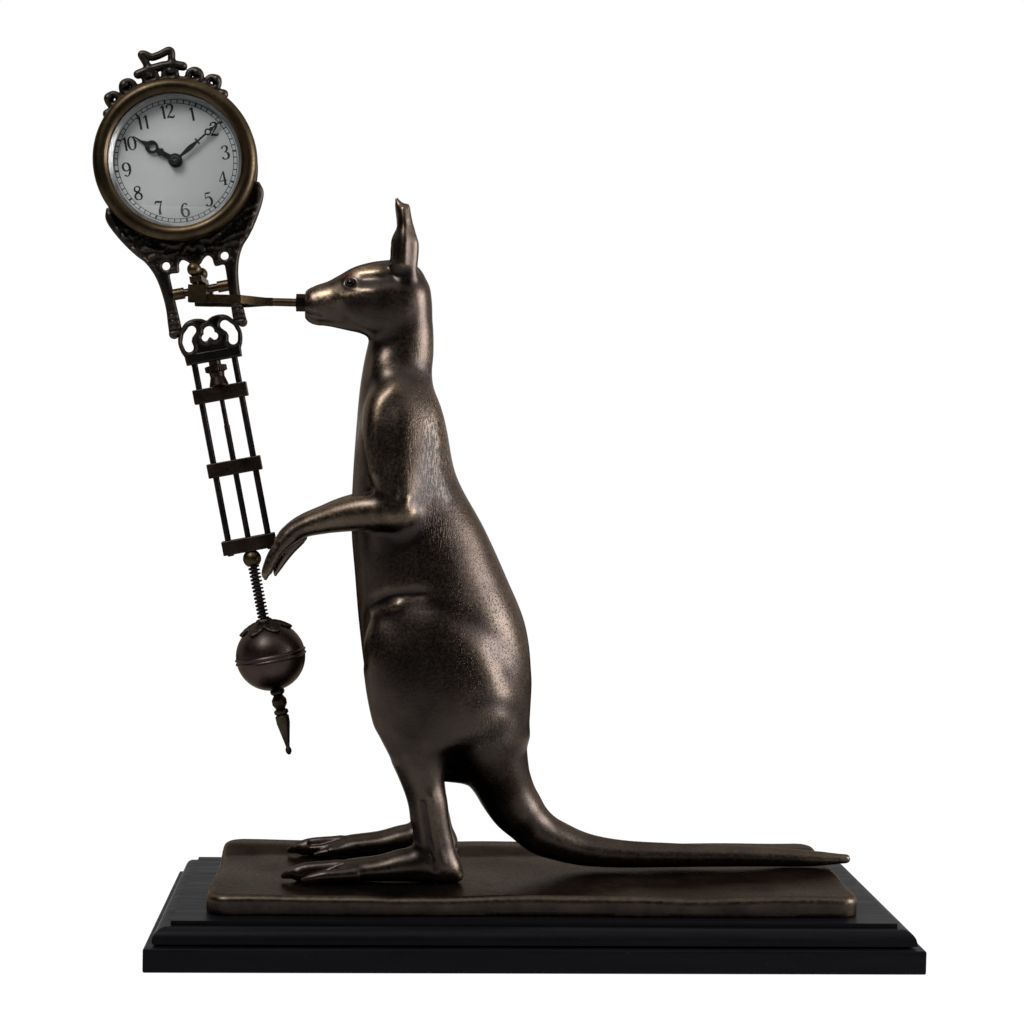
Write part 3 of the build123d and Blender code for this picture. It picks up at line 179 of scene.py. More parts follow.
# Ground slab.
# A thick bronze casting with a hand-modelled top of shallow waves and a few dents. Its edges are rubbed
# through the brown patina to golden metal.
def patina_group():
    """Colour, roughness and relief of old patinated metal, rubbed bright where wear_and_highlight says (on
    the kangaroo's head partly a painted highlight) and darkened where grime_and_shade says (on the kangaroo
    partly painted shade).
    """
    tree = bpy.data.node_groups.new("old_patina", "ShaderNodeTree")
    for name, kind in (
        ("Dark", "NodeSocketColor"), ("Brown", "NodeSocketColor"), ("Rubbed", "NodeSocketColor"),
        ("Scale", "NodeSocketFloat"), ("Wear", "NodeSocketFloat"), ("Rough", "NodeSocketFloat"),
    ):
        tree.interface.new_socket(name, in_out="INPUT", socket_type=kind)
    for name, kind in (
        ("Color", "NodeSocketColor"), ("Roughness", "NodeSocketFloat"), ("Height", "NodeSocketFloat"),
    ):
        tree.interface.new_socket(name, in_out="OUTPUT", socket_type=kind)
    given = tree.nodes.new("NodeGroupInput").outputs
    clouds = noise_at(tree, given["Scale"], 6)
    specks = noise_at(tree, multiply(tree, given["Scale"], 14.0), 3)
    worn_and_highlit = add_node(tree, "ShaderNodeAttribute", attribute_name="wear_and_highlight").outputs["Fac"]
    grime_and_shade = add_node(tree, "ShaderNodeAttribute", attribute_name="grime_and_shade").outputs["Fac"]
    tone = mix_colour(tree, ramp(tree, clouds, 0.36, 0.66), given["Dark"], given["Brown"])
    tone = mix_colour(tree, ramp(tree, specks, 0.62, 0.8, 0.0, 0.5), tone, given["Dark"])
    patchy = ramp(tree, specks, 0.3, 0.62, 0.35, 1.0)
    # Rubbed gold where wear_and_highlight says; on the kangaroo's muzzle, brow and cheek this is partly a
    # painted highlight.
    rubbed = multiply(tree, multiply(tree, worn_and_highlit, given["Wear"]), patchy)
    tone = mix_colour(tree, ramp(tree, rubbed, 0, 1), tone, given["Rubbed"])
    # Darkened where grime_and_shade says: grime in the hollows, and on the kangaroo also painted shade under
    # the body and low down.
    tone = mix_colour(tree, ramp(tree, grime_and_shade, 0, 1, 0, 0.75), tone, (0.003, 0.0025, 0.002, 1))
    rough = reckon(tree, "ADD", given["Rough"], ramp(tree, specks, 0.3, 0.7, -0.07, 0.09))
    feed(tree, tree.nodes.new("NodeGroupOutput"), Color=tone, Roughness=rough, Height=specks)
    return tree


def patinated(name, dark, brown, rubbed, scale, wear_and_highlight, rough, relief, wax=0.08):
    """An old metal finish from the shared patina: the material, its tree, shader and the patina's outputs."""
    finish, tree, shader = new_finish(
        name, Metallic=1.0, Specular_Tint=(0.5, 0.45, 0.4, 1), Coat_Weight=wax, Coat_Roughness=0.3
    )
    skin = add_node(tree, "ShaderNodeGroup", {
        "Dark": (*dark, 1), "Brown": (*brown, 1), "Rubbed": (*rubbed, 1),
        "Scale": scale, "Wear": wear_and_highlight, "Rough": rough,
    }, node_tree=PATINA).outputs
    feed(tree, shader, Base_Color=skin["Color"], Roughness=skin["Roughness"],
         Normal=bumped(tree, skin["Height"], relief, 0.0004))
    return finish, tree, shader, skin


def values_near(field, low, high, step, block=6):
    """A field's values on a regular lattice, worked out in full only in the blocks its zero can cross."""
    low = np.array(low, float)
    blocks = np.ceil((np.array(high) - low) / (step * block)).astype(int)
    middles = low + (np.argwhere(np.ones(blocks, bool)) + 0.5) * block * step
    rough = field(middles).reshape(blocks)
    fine = np.ones((block, block, block))
    values = np.kron(rough, fine)
    live = np.kron(np.abs(rough) < 1.7 * block * step, fine).astype(bool)
    values[live] = field(low + np.argwhere(live) * step)
    return values


def skin_of(field, low, high, step):
    """The surface where a field of signed distances is zero, as points and outward quads."""
    values = values_near(field, low, high, step)
    counts = np.array(values.shape)
    inside = values < 0
    cells = [c - 1 for c in counts]
    corners = [np.array((i, j, k)) for i in (0, 1) for j in (0, 1) for k in (0, 1)]
    full = sum(
        inside[tuple(slice(c, c + n) for c, n in zip(corner, cells))].astype(np.int8) for corner in corners
    )
    live = (full > 0) & (full < 8)
    number = np.full(live.shape, -1)
    number[live] = np.arange(live.sum())
    at = np.argwhere(live)
    total, hits = np.zeros((len(at), 3)), np.zeros(len(at))
    for corner in corners:
        for axis in range(3):
            if corner[axis]:
                continue
            step_on = np.eye(3, dtype=int)[axis]
            a = values[tuple((at + corner).T)]
            b = values[tuple((at + corner + step_on).T)]
            cross = (a < 0) != (b < 0)
            share = np.divide(a, a - b, out=np.zeros_like(a), where=cross)
            total[cross] += (corner + share[:, None] * step_on)[cross]
            hits[cross] += 1
    points = np.array(low, float) + (at + total / hits[:, None]) * step
    quads = []
    for axis in range(3):
        u, v = (np.eye(3, dtype=int)[(axis + i) % 3] for i in (1, 2))
        near = inside[tuple(slice(0, -1) if i == axis else slice(None) for i in range(3))]
        far = inside[tuple(slice(1, None) if i == axis else slice(None) for i in range(3))]
        edge = np.argwhere(near != far)
        ok = np.all((edge - u >= 0) & (edge - v >= 0) & (edge < cells), axis=1)
        edge = edge[ok]
        ring = [number[tuple((edge - a - b).T)] for a, b in ((0, 0), (u, 0), (u, v), (0, v))]
        ring = np.stack(ring, 1)
        out = near[tuple(edge.T)]
        ring[~out] = ring[~out][:, ::-1]
        quads.append(ring)
    return points, np.vstack(quads)


def slope(field, points, reach=0.05):
    """The field's gradient at points."""
    ends = [np.eye(3)[i] * reach for i in range(3)]
    return np.stack([(field(points + e) - field(points - e)) / (2 * reach) for e in ends], 1)


def settle(field, points, rounds=2):
    """Points moved onto the field's zero."""
    for _ in range(rounds):
        grade = slope(field, points)
        size = np.maximum((grade**2).sum(1), 0.05)
        move = (field(points) / size)[:, None] * grade
        far = np.maximum(np.linalg.norm(move, axis=1), 1e-9)
        points = points - move * np.minimum(1, 1.0 / far)[:, None]
    return points


def shade_soft(mesh):
    """Shades every face smoothly."""
    mesh.polygons.foreach_set("use_smooth", np.ones(len(mesh.polygons), bool))
    mesh.update()


def plain_mesh(name, points, faces):
    """A smooth-shaded mesh from points in millimetres."""
    mesh = bpy.data.meshes.new(name)
    mesh.from_pydata((np.asarray(points) / 1000).tolist(), [], np.asarray(faces).tolist())
    shade_soft(mesh)
    return mesh


def mark_wear(mesh, reach, passes):
    """Writes how proud and how hollow each point is, over a few edges round it, as wear and as grime in the
    hollows.
    """
    count = len(mesh.vertices)
    co, normal = np.zeros(count * 3), np.zeros(count * 3)
    mesh.vertices.foreach_get("co", co)
    mesh.vertices.foreach_get("normal", normal)
    co, normal = co.reshape(-1, 3) * 1000, normal.reshape(-1, 3)
    ends = np.zeros(len(mesh.edges) * 2, int)
    mesh.edges.foreach_get("vertices", ends)
    a, b = ends.reshape(-1, 2).T
    degree = np.maximum(np.bincount(a, minlength=count) + np.bincount(b, minlength=count), 1)

    def spread(values):
        """The mean over each point's neighbours."""
        sums = np.bincount(a, values[b], count) + np.bincount(b, values[a], count)
        return sums / degree

    smooth = co
    for _ in range(passes):
        smooth = np.stack([spread(smooth[:, i]) for i in range(3)], 1)
    bulge = ((co - smooth) * normal).sum(1) / reach
    bulge = 0.5 * bulge + 0.5 * spread(bulge)
    for name, values in (("wear_and_highlight", bulge), ("grime_and_shade", -bulge)):
        layer = mesh.attributes.new(name, "FLOAT", "POINT")
        layer.data.foreach_set("value", np.clip(values, 0, 1).astype(np.float32))


def add_object(name, data):
    """An object in the scene with its data."""
    made = bpy.data.objects.new(name, data)
    bpy.context.scene.collection.objects.link(made)
    return made


def stand_up(name, mesh, finish, body, slot, *stands_for):
    """A finished piece: its object, finish, body and the CAD nodes that it stands for, which it hides. The
    slot is not used.
    """
    piece = add_object(name, mesh)
    mesh.materials.clear()
    mesh.materials.append(finish)
    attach(piece, body)
    if stands_for:
        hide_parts(*stands_for)


PATINA = patina_group()
slab_low, slab_high = (np.array(c) * 1000 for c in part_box("ground_slab"))
GROUND = slab_high[2]
SLAB_CORNER, SLAB_EDGE, SLAB_LOW_EDGE = 9.0, 2.6, 0.4
# Behind the first y the slab's top rises, up to the second, by the height that follows.
SLAB_RISE = (22, 40, 2.3)
# Dents in the top: x, y, reach and depth.
DENTS = (
    (-113, -8, 11, 0.9), (-60, -44, 9, 0.8), (62, -40, 13, 1.0), (96, -30, 9, 0.7), (20, 30, 12, 0.7),
    (-96, 34, 10, 0.8), (112, 22, 12, 0.9), (33, -31, 5, 0.9),
)


def eased(value, start, end):
    """Zero before start, one after end and soft between."""
    share = np.clip((value - start) / (end - start), 0, 1)
    return share * share * (3 - 2 * share)


def shared(a, b, edge):
    """What two forms share, with the corner between them rounded off."""
    both = np.stack([a + edge, b + edge], 1)
    return np.linalg.norm(np.maximum(both, 0), axis=1) + np.minimum(both.max(1), 0) - edge


def slab_field(p):
    """A rounded slab, waved and dented on top and a little uneven along its sides."""
    x, y = p[:, 0], p[:, 1]
    away = p - (slab_low + slab_high) / 2
    up = away[:, 2]
    out = np.abs(away) - (slab_high - slab_low) / 2
    side = 0.35 * np.sin(x / 17 + 1.0) + 0.25 * np.sin(y / 11 + x / 29) + 0.3
    top = 0.8 * np.sin(x / 31 + y / 19) * np.sin(y / 17 - x / 47 + 0.6) + 0.3 * np.sin(x / 9 + y / 13)
    for cx, cy, reach, deep in DENTS:
        top -= deep * np.exp(-((x - cx) ** 2 + (y - cy) ** 2) / reach**2)
    flat = shared(out[:, 0], out[:, 1], SLAB_CORNER) + side
    worked = out[:, 2] + 0.5 - 0.6 * np.minimum(top, 0.7) - SLAB_RISE[2] * eased(y, *SLAB_RISE[:2])
    high = np.where(up > 0, worked, out[:, 2])
    return shared(flat, high, np.where(up > 0, SLAB_EDGE, SLAB_LOW_EDGE))


points, quads = skin_of(slab_field, slab_low - 3, slab_high + 3, 1.15)
points = settle(slab_field, points)
points[:, 2] = np.maximum(points[:, 2], slab_low[2])
mesh = plain_mesh("ground_casting", points, quads)
mark_wear(mesh, 0.55, 4)
bronze_ground = patinated(
    "ground_bronze", (0.012, 0.0088, 0.008), (0.04, 0.0285, 0.024), (0.17, 0.123, 0.08),
    scale=42, wear_and_highlight=0.4, rough=0.38, relief=0.3, wax=0.12,
)[0]
stand_up("ground_casting", mesh, bronze_ground, "stand", "cast_bronze", "ground_slab")


# Kangaroo.
# The animal is one bronze cast, modelled in clay first: forms pressed on one after another and smoothed
# together, then folds, tendons, lids and toes drawn with a tool. Brown patina, rubbed gold on its edges and,
# partly as a painted highlight, on the muzzle, brow and cheek; painted shade under the body and low on the
# legs.
def smooth_rows(rows, count):
    """Rows of numbers with more rows run smoothly between them."""
    rows = np.array(rows, float)
    t = np.linspace(0, len(rows) - 1, count)
    i = np.minimum(t.astype(int), len(rows) - 2)
    u = (t - i)[:, None]
    pad = np.vstack([2 * rows[0] - rows[1], rows, 2 * rows[-1] - rows[-2]])
    a, b, c, d = (pad[i + k] for k in range(4))
    return 0.5 * (2 * b + (c - a) * u + (2 * a - 5 * b + 4 * c - d) * u**2 + (3 * b - 3 * c + d - a) * u**3)


def oval(u, v, half_u, half_v):
    """About how far points are from an ellipse, less than zero inside."""
    a = np.maximum(np.hypot(u / half_u, v / half_v), 1e-4)
    b = np.maximum(np.hypot(u / half_u**2, v / half_v**2), a / np.maximum(half_u, half_v))
    return a * (a - 1) / b


def standing(p, rows):
    """A form of level ovals stacked up: height, front, back, middle across, half width."""
    z = np.clip(p[:, 2], rows[0, 0], rows[-1, 0])
    front, back, middle, half = (np.interp(z, rows[:, 0], rows[:, i]) for i in (1, 2, 3, 4))
    away = oval(p[:, 0] - (front + back) / 2, p[:, 1] - middle, (back - front) / 2, half)
    cap = 0.8 * np.minimum(half, (back - front) / 2)
    return np.hypot(np.maximum(away + cap, 0), p[:, 2] - z) - cap


def limb(p, rows):
    """A form of ovals strung along a line: x, y, z, half depth and half width."""
    centre = rows[:, :3]
    gap = np.linalg.norm(np.diff(centre, axis=0), axis=1)
    gap = np.append(gap, gap[-1])
    run = np.gradient(centre, axis=0)
    run /= np.linalg.norm(run, axis=1)[:, None]
    nearest = ((centre**2).sum(1) - 2 * p @ centre.T).argmin(1)
    ahead = ((p - centre[nearest]) * run[nearest]).sum(1) / gap[nearest]
    s = np.clip(nearest + np.clip(ahead, -0.5, 0.5), 0, len(rows) - 1)
    steps = np.arange(len(rows))
    at = np.stack([np.interp(s, steps, centre[:, i]) for i in range(3)], 1)
    along = np.stack([np.interp(s, steps, run[:, i]) for i in range(3)], 1)
    along /= np.linalg.norm(along, axis=1)[:, None]
    across = np.array((0.0, 1.0, 0.0)) - along * along[:, 1:2]
    across /= np.linalg.norm(across, axis=1)[:, None]
    deep = np.cross(along, across)
    depth, width = (np.interp(s, steps, rows[:, i]) for i in (3, 4))
    away = p - at
    side = oval((away * deep).sum(1), (away * across).sum(1), depth, width)
    cap = 0.9 * np.minimum(depth, width)
    return np.hypot(np.maximum(side + cap, 0), (away * along).sum(1)) - cap


def egg(p, rows):
    """An egg: its middle, three half sizes, and how far it leans in the side view in degrees."""
    centre, half, lean = rows[0, :3], rows[0, 3:6], math.radians(rows[0, 6])
    q = p - centre
    q = np.stack([
        q[:, 0] * math.cos(lean) + q[:, 2] * math.sin(lean), q[:, 1],
        q[:, 2] * math.cos(lean) - q[:, 0] * math.sin(lean),
    ], 1)
    a = np.maximum(np.linalg.norm(q / half, axis=1), 1e-4)
    b = np.maximum(np.linalg.norm(q / half**2, axis=1), a / half.max())
    return a * (a - 1) / b


def blend(a, b, soft):
    """Two forms joined with a soft corner."""
    h = np.clip(0.5 + 0.5 * (b - a) / soft, 0, 1)
    return b + (a - b) * h - soft * h * (1 - h)


def lifted(rows):
    """Rows with their height, third in the row, taken from the slab's top."""
    return [(r[0], r[1], r[2] + GROUND, *r[3:]) for r in rows]


# Heights in the rows below are over the slab's top, but those of the nose bridge are over the table, as are
# the heights of the eggs and the strokes.
# The body from below: height, front, back and half width.
TORSO = (
    (46, -50, -24, 9), (56, -63, -5, 22.5), (66, -69, -2.6, 27), (86, -73.5, -1, 30), (108, -76.6, -4, 29.5),
    (129, -78.7, -12.8, 26.5), (150, -80.6, -22.8, 23), (171, -80.3, -34.6, 20.5), (191, -79.3, -40.8, 19),
    (207, -78.2, -45.8, 16.5), (217, -77, -46.8, 14.2), (226, -75.4, -46.3, 12.6), (236, -73, -46.6, 11.8),
    (246, -70, -47.9, 11.6), (253, -69, -49.8, 10.8), (258, -68, -53, 8),
)
# The left leg from the ankle up to the thigh: height, front, back, middle across and half width.
LEG = (
    (6, -50, -32.6, 24.2, 6.4), (14, -51, -33.6, 24.2, 6.8), (24, -52.2, -35.8, 24, 7.2),
    (34, -53.8, -37.2, 23.6, 7.8), (44, -57.6, -38.8, 22.6, 9.2), (54, -62.8, -36, 21, 11.4),
    (61, -66.6, -27, 20.4, 12.6), (68, -70, -18, 19.8, 13.4), (84, -73.3, -16, 19, 14.2),
    (100, -74.6, -22, 18, 13), (114, -70, -34, 16.5, 9.5), (122, -60, -46, 15, 5),
)
# The foot from the heel forward: x, thickness and half width, at one place across.
FOOT_ACROSS = 24.3
FOOT = (
    (-32.5, 5.5, 4.2), (-37, 12, 6.2), (-45, 15, 7), (-55, 14, 7.2), (-66, 11, 7.2), (-80, 9, 6.8),
    (-90, 6.6, 4.6), (-100, 5.2, 3),
)
# Limbs, head, ears and tail as lines of ovals: x, y, height, half depth and half width.
UPPER_ARM = (
    (-63, 8, 212, 7, 5), (-65.5, 14, 204, 8.6, 6.4), (-65, 17.5, 194, 9.5, 7.6), (-64, 20.5, 180, 8.8, 7),
    (-62.5, 22.5, 166, 8, 6.6), (-61.5, 23, 158, 6.5, 6),
)
FOREARM = (
    (-57.5, 23.2, 157.5, 4.6, 4.6), (-64, 22.6, 157.6, 7, 6.4), (-74, 20.8, 157, 7.6, 6.6),
    (-84, 18.6, 155.2, 6.8, 6.2), (-93, 16.8, 152.7, 5.5, 5.6), (-101, 15.4, 150, 4.6, 5.4),
    (-106.5, 15, 146.4, 4.4, 5.4), (-109.5, 15, 143.4, 3.6, 5.2),
)
HEAD = (
    (-60, 0, 250, 13, 12.2), (-67, 0, 250.2, 15, 13.6), (-76, 0, 249.4, 14, 12.4),
    (-84, 0, 247.6, 11.9, 10.4), (-92, 0, 246, 8.9, 8.2), (-96.6, 0, 244.8, 7, 6.6),
)
EAR = (
    (-58.8, 8.2, 258, 4.6, 3.6), (-60, 9, 266, 6.3, 4), (-60, 9.4, 273, 6.2, 3.8),
    (-59.7, 9.2, 279, 3.8, 2.8), (-61, 9, 285.2, 2.4, 1.8), (-62.6, 8.9, 288.8, 1.4, 1.1),
    (-63.8, 8.8, 291.4, 0.5, 0.5),
)
EAR_CUP = (
    (-66.4, 9.4, 264, 1.6, 1.6), (-67.2, 9.8, 268, 3.2, 2.4), (-67, 10, 273, 3, 2.2),
    (-64.8, 9.6, 279, 1.9, 1.5), (-64, 9.2, 284, 0.8, 0.7),
)
TAIL = (
    (-21, 0, 78, 16, 15), (-18.2, 0, 65, 14.6, 14), (-15.6, 0, 53, 13.4, 13), (-13, 0, 40, 11.6, 12),
    (-7.6, 0, 28, 10, 10.8), (3.4, 0.1, 17, 9.6, 9.8), (12.4, 0.5, 12.4, 8.6, 8.8), (25, 1.3, 8.4, 7.2, 7.4),
    (42, 2.4, 6.3, 6, 6.4), (68, 4, 5.5, 5.2, 5.4), (98, 5.6, 4.9, 4.6, 4.6), (126, 6.8, 3.8, 3.6, 3.6),
    (143.5, 7.4, 3.6, 2, 2),
)
NOSE_BRIDGE = (
    (-74, 0, 266.3, 4.4, 7), (-84, 0, 267.6, 3.6, 5.6), (-93, 0, 268.8, 2.8, 4.4),
    (-97.4, 0, 269.5, 2.0, 3.2),
)
THUMB = (
    (-102.5, 10.8, 144.5, 2.6, 2.2), (-106.6, 10, 139.8, 2.3, 2), (-110, 9.6, 134.8, 1.9, 1.7),
    (-112.2, 9.4, 130.6, 1.3, 1.2), (-112.6, 9.4, 128.8, 0.6, 0.6),
)
EAR_TUFT = ((-59.6, 9.4, 283, 1.3, 1.1), (-58.8, 9.6, 286.6, 0.8, 0.7), (-58.6, 9.6, 288, 0.4, 0.4))
RUMP = (
    (-31, 10, 96, 15, 14), (-28, 14, 76, 19, 17), (-23, 13, 62, 16, 16), (-17.6, 9, 49, 12.4, 14),
    (-12.4, 4, 38, 10.4, 12), (-6.6, 1, 29, 9.2, 10.4),
)
eye_low, eye_high = (np.array(c) * 1000 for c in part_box("eyes"))
EYE_R = (eye_high[0] - eye_low[0]) / 2
EYE = np.array(((eye_low[0] + eye_high[0]) / 2, eye_high[1] - EYE_R, (eye_low[2] + eye_high[2]) / 2))
EYE_LEAN = math.radians(22)
EYE_ALONG = np.array((-math.cos(EYE_LEAN), 0, math.sin(EYE_LEAN)))
EYE_OVER = np.array((math.sin(EYE_LEAN), 0, math.cos(EYE_LEAN)))


def finger(y, out, reach):
    """A finger bent down from the knuckle to a blunt claw."""
    short = 1 - reach
    return lifted([
        (-106.5, y, 145.6, 3, 2.3), (-111.4, y + 0.4 * out, 140.4, 2.8, 2.2),
        (-114.6 + 2 * short, y + 0.8 * out, 134.6 + 3 * short, 2.4, 1.9),
        (-116.3 + 3 * short, y + out, 130 + 5 * short, 1.9, 1.5),
        (-116.5 + 3 * short, y + out, 127.8 + 6 * short, 0.9, 0.8),
    ])


def toe(y, out, start, tip, size):
    """A toe along the ground, ending in a claw."""
    aside = y + out
    rows = (
        (start, y, 5.2, 3.6, 3.2), ((start + tip) / 2, aside, 4.6, 3.3, 2.9), (tip + 7, aside, 3.8, 3, 2.6),
        (tip + 3.4, aside, 3, 2.3, 2), (tip + 0.6, aside, 2, 1.4, 1.2),
    )
    return lifted([(x, across, *(size * r for r in rest)) for x, across, *rest in rows])


# Thigh and arm stand clear of the body in front and run softly into it behind: two places and two softnesses.
THIGH_JOIN = (-74, -40, 1.6, 8.0)
ARM_JOIN = (-76, -56, 1.6, 10.0)

# Each form: how it is read, its rows, how softly it joins what is there, and whether both sides have it.
FORMS = [(read, np.array(rows, float), soft, both) for read, rows, soft, both in (
    (standing, smooth_rows([(h + GROUND, a, b, 0, w) for h, a, b, w in TORSO], 160), 1.0, False),
    (limb, smooth_rows(lifted(TAIL), 150), 8.0, False),
    (limb, smooth_rows(lifted(RUMP), 40), 8.0, True),
    (limb, smooth_rows(lifted(HEAD), 60), 5.0, False),
    (egg, [(-31, 0, 76, 8, 7.5, 8, 0)], 5.0, False),
    (egg, [(-96.8, 0, 274.0, 5.0, 5.8, 6.2, 0)], 6.0, False),
    (egg, [(-98.8, 0, 276.8, 2.6, 3.8, 2.6, 20)], 1.6, False),
    (limb, smooth_rows(NOSE_BRIDGE, 30), 5.0, False),
    (standing, smooth_rows([(h + GROUND, a, b, y, w) for h, a, b, y, w in LEG], 130), THIGH_JOIN, True),
    (limb, smooth_rows(lifted([(x, FOOT_ACROSS, t / 2, t / 2, w) for x, t, w in FOOT]), 70), 4.0, True),
    (egg, [(-37.5, FOOT_ACROSS, 33.4, 5.4, 5.8, 5.6, 0)], 3.0, True),
    (limb, smooth_rows(toe(FOOT_ACROSS, 0, -84, -107, 1.0), 30), 1.6, True),
    (limb, smooth_rows(toe(30.0, 1.4, -76, -98.5, 0.8), 30), 1.6, True),
    (limb, smooth_rows(toe(19.4, -1.0, -78, -95.5, 0.66), 30), 1.4, True),
    (egg, [(-57, 10.5, 206, 12.5, 12, 30, -12)], 12.0, True),
    (limb, smooth_rows(lifted(UPPER_ARM), 60), ARM_JOIN, True),
    (egg, [(-63.5, 12.6, 221, 9.5, 8, 15, -14)], 10.0, True),
    (limb, smooth_rows(lifted(FOREARM), 70), 3.0, True),
    (egg, [(-57.2, 23.0, 184.6, 3.2, 3.6, 3.4, 0)], 2.4, True),
    (limb, smooth_rows(finger(12.6, -0.6, 0.96), 24), 1.0, True),
    (limb, smooth_rows(finger(15.4, 0.2, 1.0), 24), 1.0, True),
    (limb, smooth_rows(finger(18.0, 1.2, 0.9), 24), 1.0, True),
    (limb, smooth_rows(lifted(THUMB), 24), 1.0, True),
    (limb, smooth_rows(lifted(EAR_TUFT), 12), 0.6, True),
    (egg, [(-72.5, 9.2, 271.5, 9.5, 4.4, 8.0, 0)], 9.0, True),
    (egg, [(-66.6, 8.6, 244.5, 4.0, 3.6, 6.5, 8)], 6.0, True),
)]

# Each stroke: points in a plane, the plane's axes, width, how far it is raised or, below zero, cut in, and
# the third axis's span.
SIDE, PLAN = (0, 2), (0, 1)
STROKES = [
    (((-74.6, 121), (-74, 131), (-72.4, 140), (-70, 146), (-64, 149.6), (-56, 151), (-49, 151.4)),
     SIDE, 2.2, -0.7, 8, 40),
    (((-70.4, 141.8), (-66, 144.4), (-60, 146.4)), SIDE, 1.9, 1.0, 12, 40),
    (((-75, 121), (-74, 130), (-72, 139), (-70, 142.4)), SIDE, 0.9, 0.4, 8, 40),
    (((-50, 149.7), (-31.8, 142), (-20, 133), (-11.4, 119.7)), SIDE, 6.0, -0.7, 8, 40),
    (((-44, 140), (-30, 131), (-20, 119)), SIDE, 6.0, 0.45, 8, 40),
    (((-26, 107.6), (-18, 104.6), (-9, 101.6)), SIDE, 3.6, -0.35, 6, 40),
    (((-44.6, 66), (-42.4, 50), (-38.6, 36)), SIDE, 1.5, 0.4, 18, 40),
    (((-47.6, 63), (-45.1, 48), (-42, 35)), SIDE, 1.1, -0.9, 18, 40),
    (((-60, 78), (-55.5, 63), (-54, 54)), SIDE, 2.4, 0.7, 18, 40),
    (((-64, 238.5), (-68.4, 234.4), (-71.4, 229), (-73, 221), (-73.4, 211), (-73, 202)),
     SIDE, 4.2, 1.1, 8, 30),
    (((-60.6, 195.4), (-61, 192)), SIDE, 0.7, 0.35, 18, 40),
    (((-56.6, 191.6), (-57.6, 188.2)), SIDE, 0.9, 0.6, 18, 40),
    (((-101, 270.2), (-97.5, 269.2), (-94.5, 268.6)), SIDE, 0.6, -0.4, 1, 16),
    (((-86.4, 277), (-81.4, 278.8), (-76.3, 279.6), (-72.6, 279)), SIDE, 3.2, 0.8, 6, 18),
    (((-83.6, 286.6), (-78, 288.2), (-71, 288.8)), SIDE, 3.6, 0.9, 4, 18),
    (((-76, 283.6), (-70, 284.4), (-65, 285.4)), SIDE, 2.8, -0.9, 6, 18),
    (((-60.2, 291), (-60, 300), (-60, 308), (-60.8, 314.5)), SIDE, 2.2, 1.4, 6, 20),
    (((-81, 22.1), (-92, 22.0), (-97, 22.2)), PLAN, 0.9, -0.9, 30, 40),
    (((-81, 27.2), (-92, 28.0), (-99, 28.4)), PLAN, 0.9, -1.0, 30, 40),
]


def polyline_gap(u, v, line):
    """Distance from points to a line of straight pieces in a plane."""
    best = np.full(len(u), 1e9)
    for (ax, ay), (bx, by) in zip(line[:-1], line[1:]):
        dx, dy = bx - ax, by - ay
        t = np.clip(((u - ax) * dx + (v - ay) * dy) / (dx * dx + dy * dy), 0, 1)
        best = np.minimum(best, np.hypot(u - ax - t * dx, v - ay - t * dy))
    return best


def within(p, low, high):
    """Which points lie in a box."""
    return np.flatnonzero(np.all((p > low) & (p < high), axis=1))


def reach_of(read, rows):
    """The corners of the box that a form fills."""
    if read is egg:
        return rows[0, :3] - rows[0, 3:6].max(), rows[0, :3] + rows[0, 3:6].max()
    if read is standing:
        low = np.array((rows[:, 1].min(), (rows[:, 3] - rows[:, 4]).min(), rows[0, 0]))
        return low, np.array((rows[:, 2].max(), (rows[:, 3] + rows[:, 4]).max(), rows[-1, 0]))
    size = rows[:, 3:5].max(1)[:, None]
    return (rows[:, :3] - size).min(0), (rows[:, :3] + size).max(0)


EAR_ROWS, CUP_ROWS = smooth_rows(lifted(EAR), 50), smooth_rows(lifted(EAR_CUP), 50)
NOSE_END, CHIN_LOW = -102.0, 250.0
NOSTRIL = np.array((-100.4, 3.0, 276))
LID_LONG, LID_HIGH, SOCKET_R = 2.1, 1.65, 4.8
# How far round a form or an ear its join with the rest is worked out.
FORM_REACH, EAR_REACH = 22, 12


